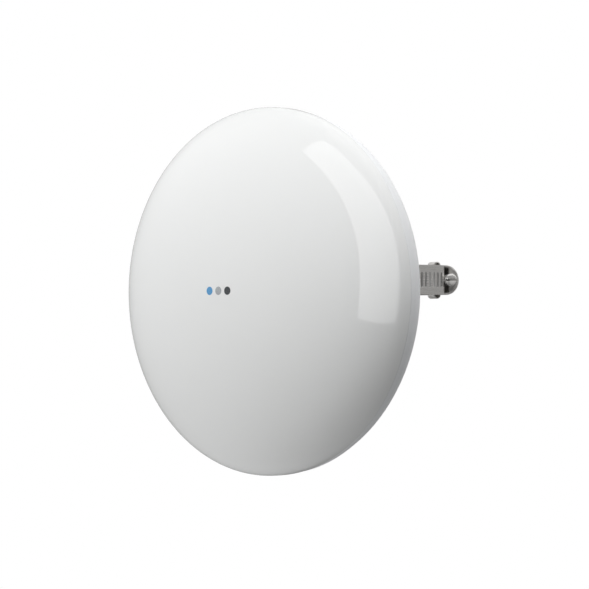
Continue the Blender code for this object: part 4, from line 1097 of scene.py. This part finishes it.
studio = {"floorDrop": 0.115, "floorSize": 8.0, "white": 1.0, "ambient": 0.02,
          "reflected": (0.14, 0.70), "skyBand": (-0.35, 0.6), "coverShade": 0.79, "softness": 50.0,
          "lamps": ((-34, -17, 0.15), (54, 61, 0.64), (-67, -11, 0.52), (150, -60, 0.28),
                    (30, 60, 0.25), (-180, 30, 0.43), (0, -30, 0.13)),
          "panel": (((-0.326, -1.014, 1.215), (-0.044, -0.475, 1.527)),
                    ((0.033, -1.217, 1.077), (0.592, -0.412, 1.432)),
                    ((0.232, -1.302, 0.954), (0.920, -0.206, 1.287)),
                    ((0.396, -1.373, 0.793), (1.170, 0.020, 1.067)),
                    ((0.535, -1.442, 0.563), (1.373, 0.233, 0.725)),
                    ((0.595, -1.486, 0.354), (1.484, 0.236, 0.459)),
                    ((0.585, -1.531, -0.035), (1.577, 0.063, -0.147)),
                    ((0.538, -1.525, -0.265), (1.536, -0.081, -0.420))),
          "panelStrength": 2.6, "distance": 1.4, "azimuth": 43.0, "elevation": -0.7,
          "fieldOfView": 12.32, "shift": (0.0501, -0.0053)}


def glow(name, strength, oneSided=False):
    material = bpy.data.materials.new(name)
    material.use_nodes = True
    graph = Graph(material.node_tree)
    light = graph.node("ShaderNodeEmission", None, {"Strength": strength})
    if oneSided:
        behind = graph.node("ShaderNodeNewGeometry", out="Backfacing")
        clear = graph.node("ShaderNodeBsdfTransparent")
        light = graph.node("ShaderNodeMixShader", None, {0: behind, 1: light, 2: clear})
    graph.node("ShaderNodeOutputMaterial", None, {"Surface": light})
    return material


def direction(azimuth, elevation):
    turn, lift = math.radians(azimuth), math.radians(elevation)
    return Vector((math.sin(turn) * math.cos(lift), -math.cos(turn) * math.cos(lift),
                   math.sin(lift)))


def staged(name, rungs, material):
    cage = bmesh.new()
    rows = [[cage.verts.new(corner) for corner in rung] for rung in rungs]
    for (near, far), (nextNear, nextFar) in zip(rows, rows[1:]):
        cage.faces.new((near, far, nextFar, nextNear))
    piece = meshObject(name, cage)
    piece.data.materials.append(material)
    piece.visible_shadow = False
    piece.visible_diffuse = False
    return piece


def makeStudio():
    size, level = studio["floorSize"], -coverRadius - studio["floorDrop"]
    floor = staged("floor", [((side, -size, level), (side, size, level)) for side in (size, -size)],
                   glow("paleFloor", 1.0, True))
    floor.visible_glossy = False
    panel = staged("light_panel", studio["panel"],
                   glow("panelLight", studio["panelStrength"]))
    panel.visible_camera = False
    panel.visible_transmission = False
    mirror = bpy.data.collections.new("panel_receivers")  # only the front cover mirrors the panel
    mirror.objects.link(bpy.data.objects["front_cover_shell"])
    panel.light_linking.receiver_collection = mirror
    for number, (azimuth, elevation, weight) in enumerate(studio["lamps"], 1):
        lamp = bpy.data.lights.new(f"lamp_{number}", "SUN")
        lamp.energy = weight * math.pi / studio["coverShade"]
        lamp.angle = math.radians(studio["softness"])
        holder = addObject(f"lamp_{number}", lamp)
        holder.rotation_euler = direction(azimuth, elevation).to_track_quat("Z", "Y").to_euler()
        holder.visible_glossy = False
    world = bpy.data.worlds.new("studio")
    bpy.context.scene.world = world
    world.use_nodes = True
    graph = Graph(world.node_tree)
    path = graph.node("ShaderNodeLightPath").socket.node
    seen = Wire(graph, path.outputs["Is Camera Ray"])
    mirrored = Wire(graph, path.outputs["Is Glossy Ray"])
    way = graph.node("ShaderNodeTexCoord", out="Generated")
    height = Wire(graph, graph.node("ShaderNodeSeparateXYZ", None,
                                    {"Vector": way}).socket.node.outputs["Z"])
    low, high = studio["reflected"]
    bottom, top = studio["skyBand"]
    sky = graph.node("ShaderNodeMapRange", {"interpolation_type": "SMOOTHSTEP"},
                     {"Value": height, "From Min": bottom, "From Max": top, "To Min": low,
                      "To Max": high})
    lit = studio["ambient"] + mirrored * (sky - studio["ambient"])
    level = lit + seen * (studio["white"] - lit)
    back = graph.node("ShaderNodeBackground", None, {"Color": (1.0, 1.0, 1.0, 1.0),
                                                     "Strength": level})
    graph.node("ShaderNodeOutputWorld", None, {"Surface": back})


def makeCamera():
    lens = bpy.data.cameras.new("camera")
    lens.angle = math.radians(studio["fieldOfView"])
    lens.shift_x, lens.shift_y = studio["shift"]
    lens.clip_start = 0.05
    camera = addObject("camera", lens)
    back = direction(studio["azimuth"], studio["elevation"])
    camera.location = Vector((0.0, -rimAhead, 0.0)) + back * studio["distance"]
    camera.rotation_euler = back.to_track_quat("Z", "Y").to_euler()
    bpy.context.scene.camera = camera
    bpy.context.scene.view_settings.view_transform = "Standard"
    bpy.context.scene.view_settings.look = "None"


makeRadome()
makeMark()
print("front cover made")
makeRearShell()
print("rear shell made")
makePortCover()
makeSmallHeadParts()
makeJackContacts()
print("cable bay made")
makeNut()
makeSeats()
makeBracket()
print("ball joint and bracket made")
makeStrap()
makeHousing()
makeSaddle()
makeScrew()
print("strap and worm made")
paintInnerParts()
makeStudio()
makeCamera()
print("studio made")
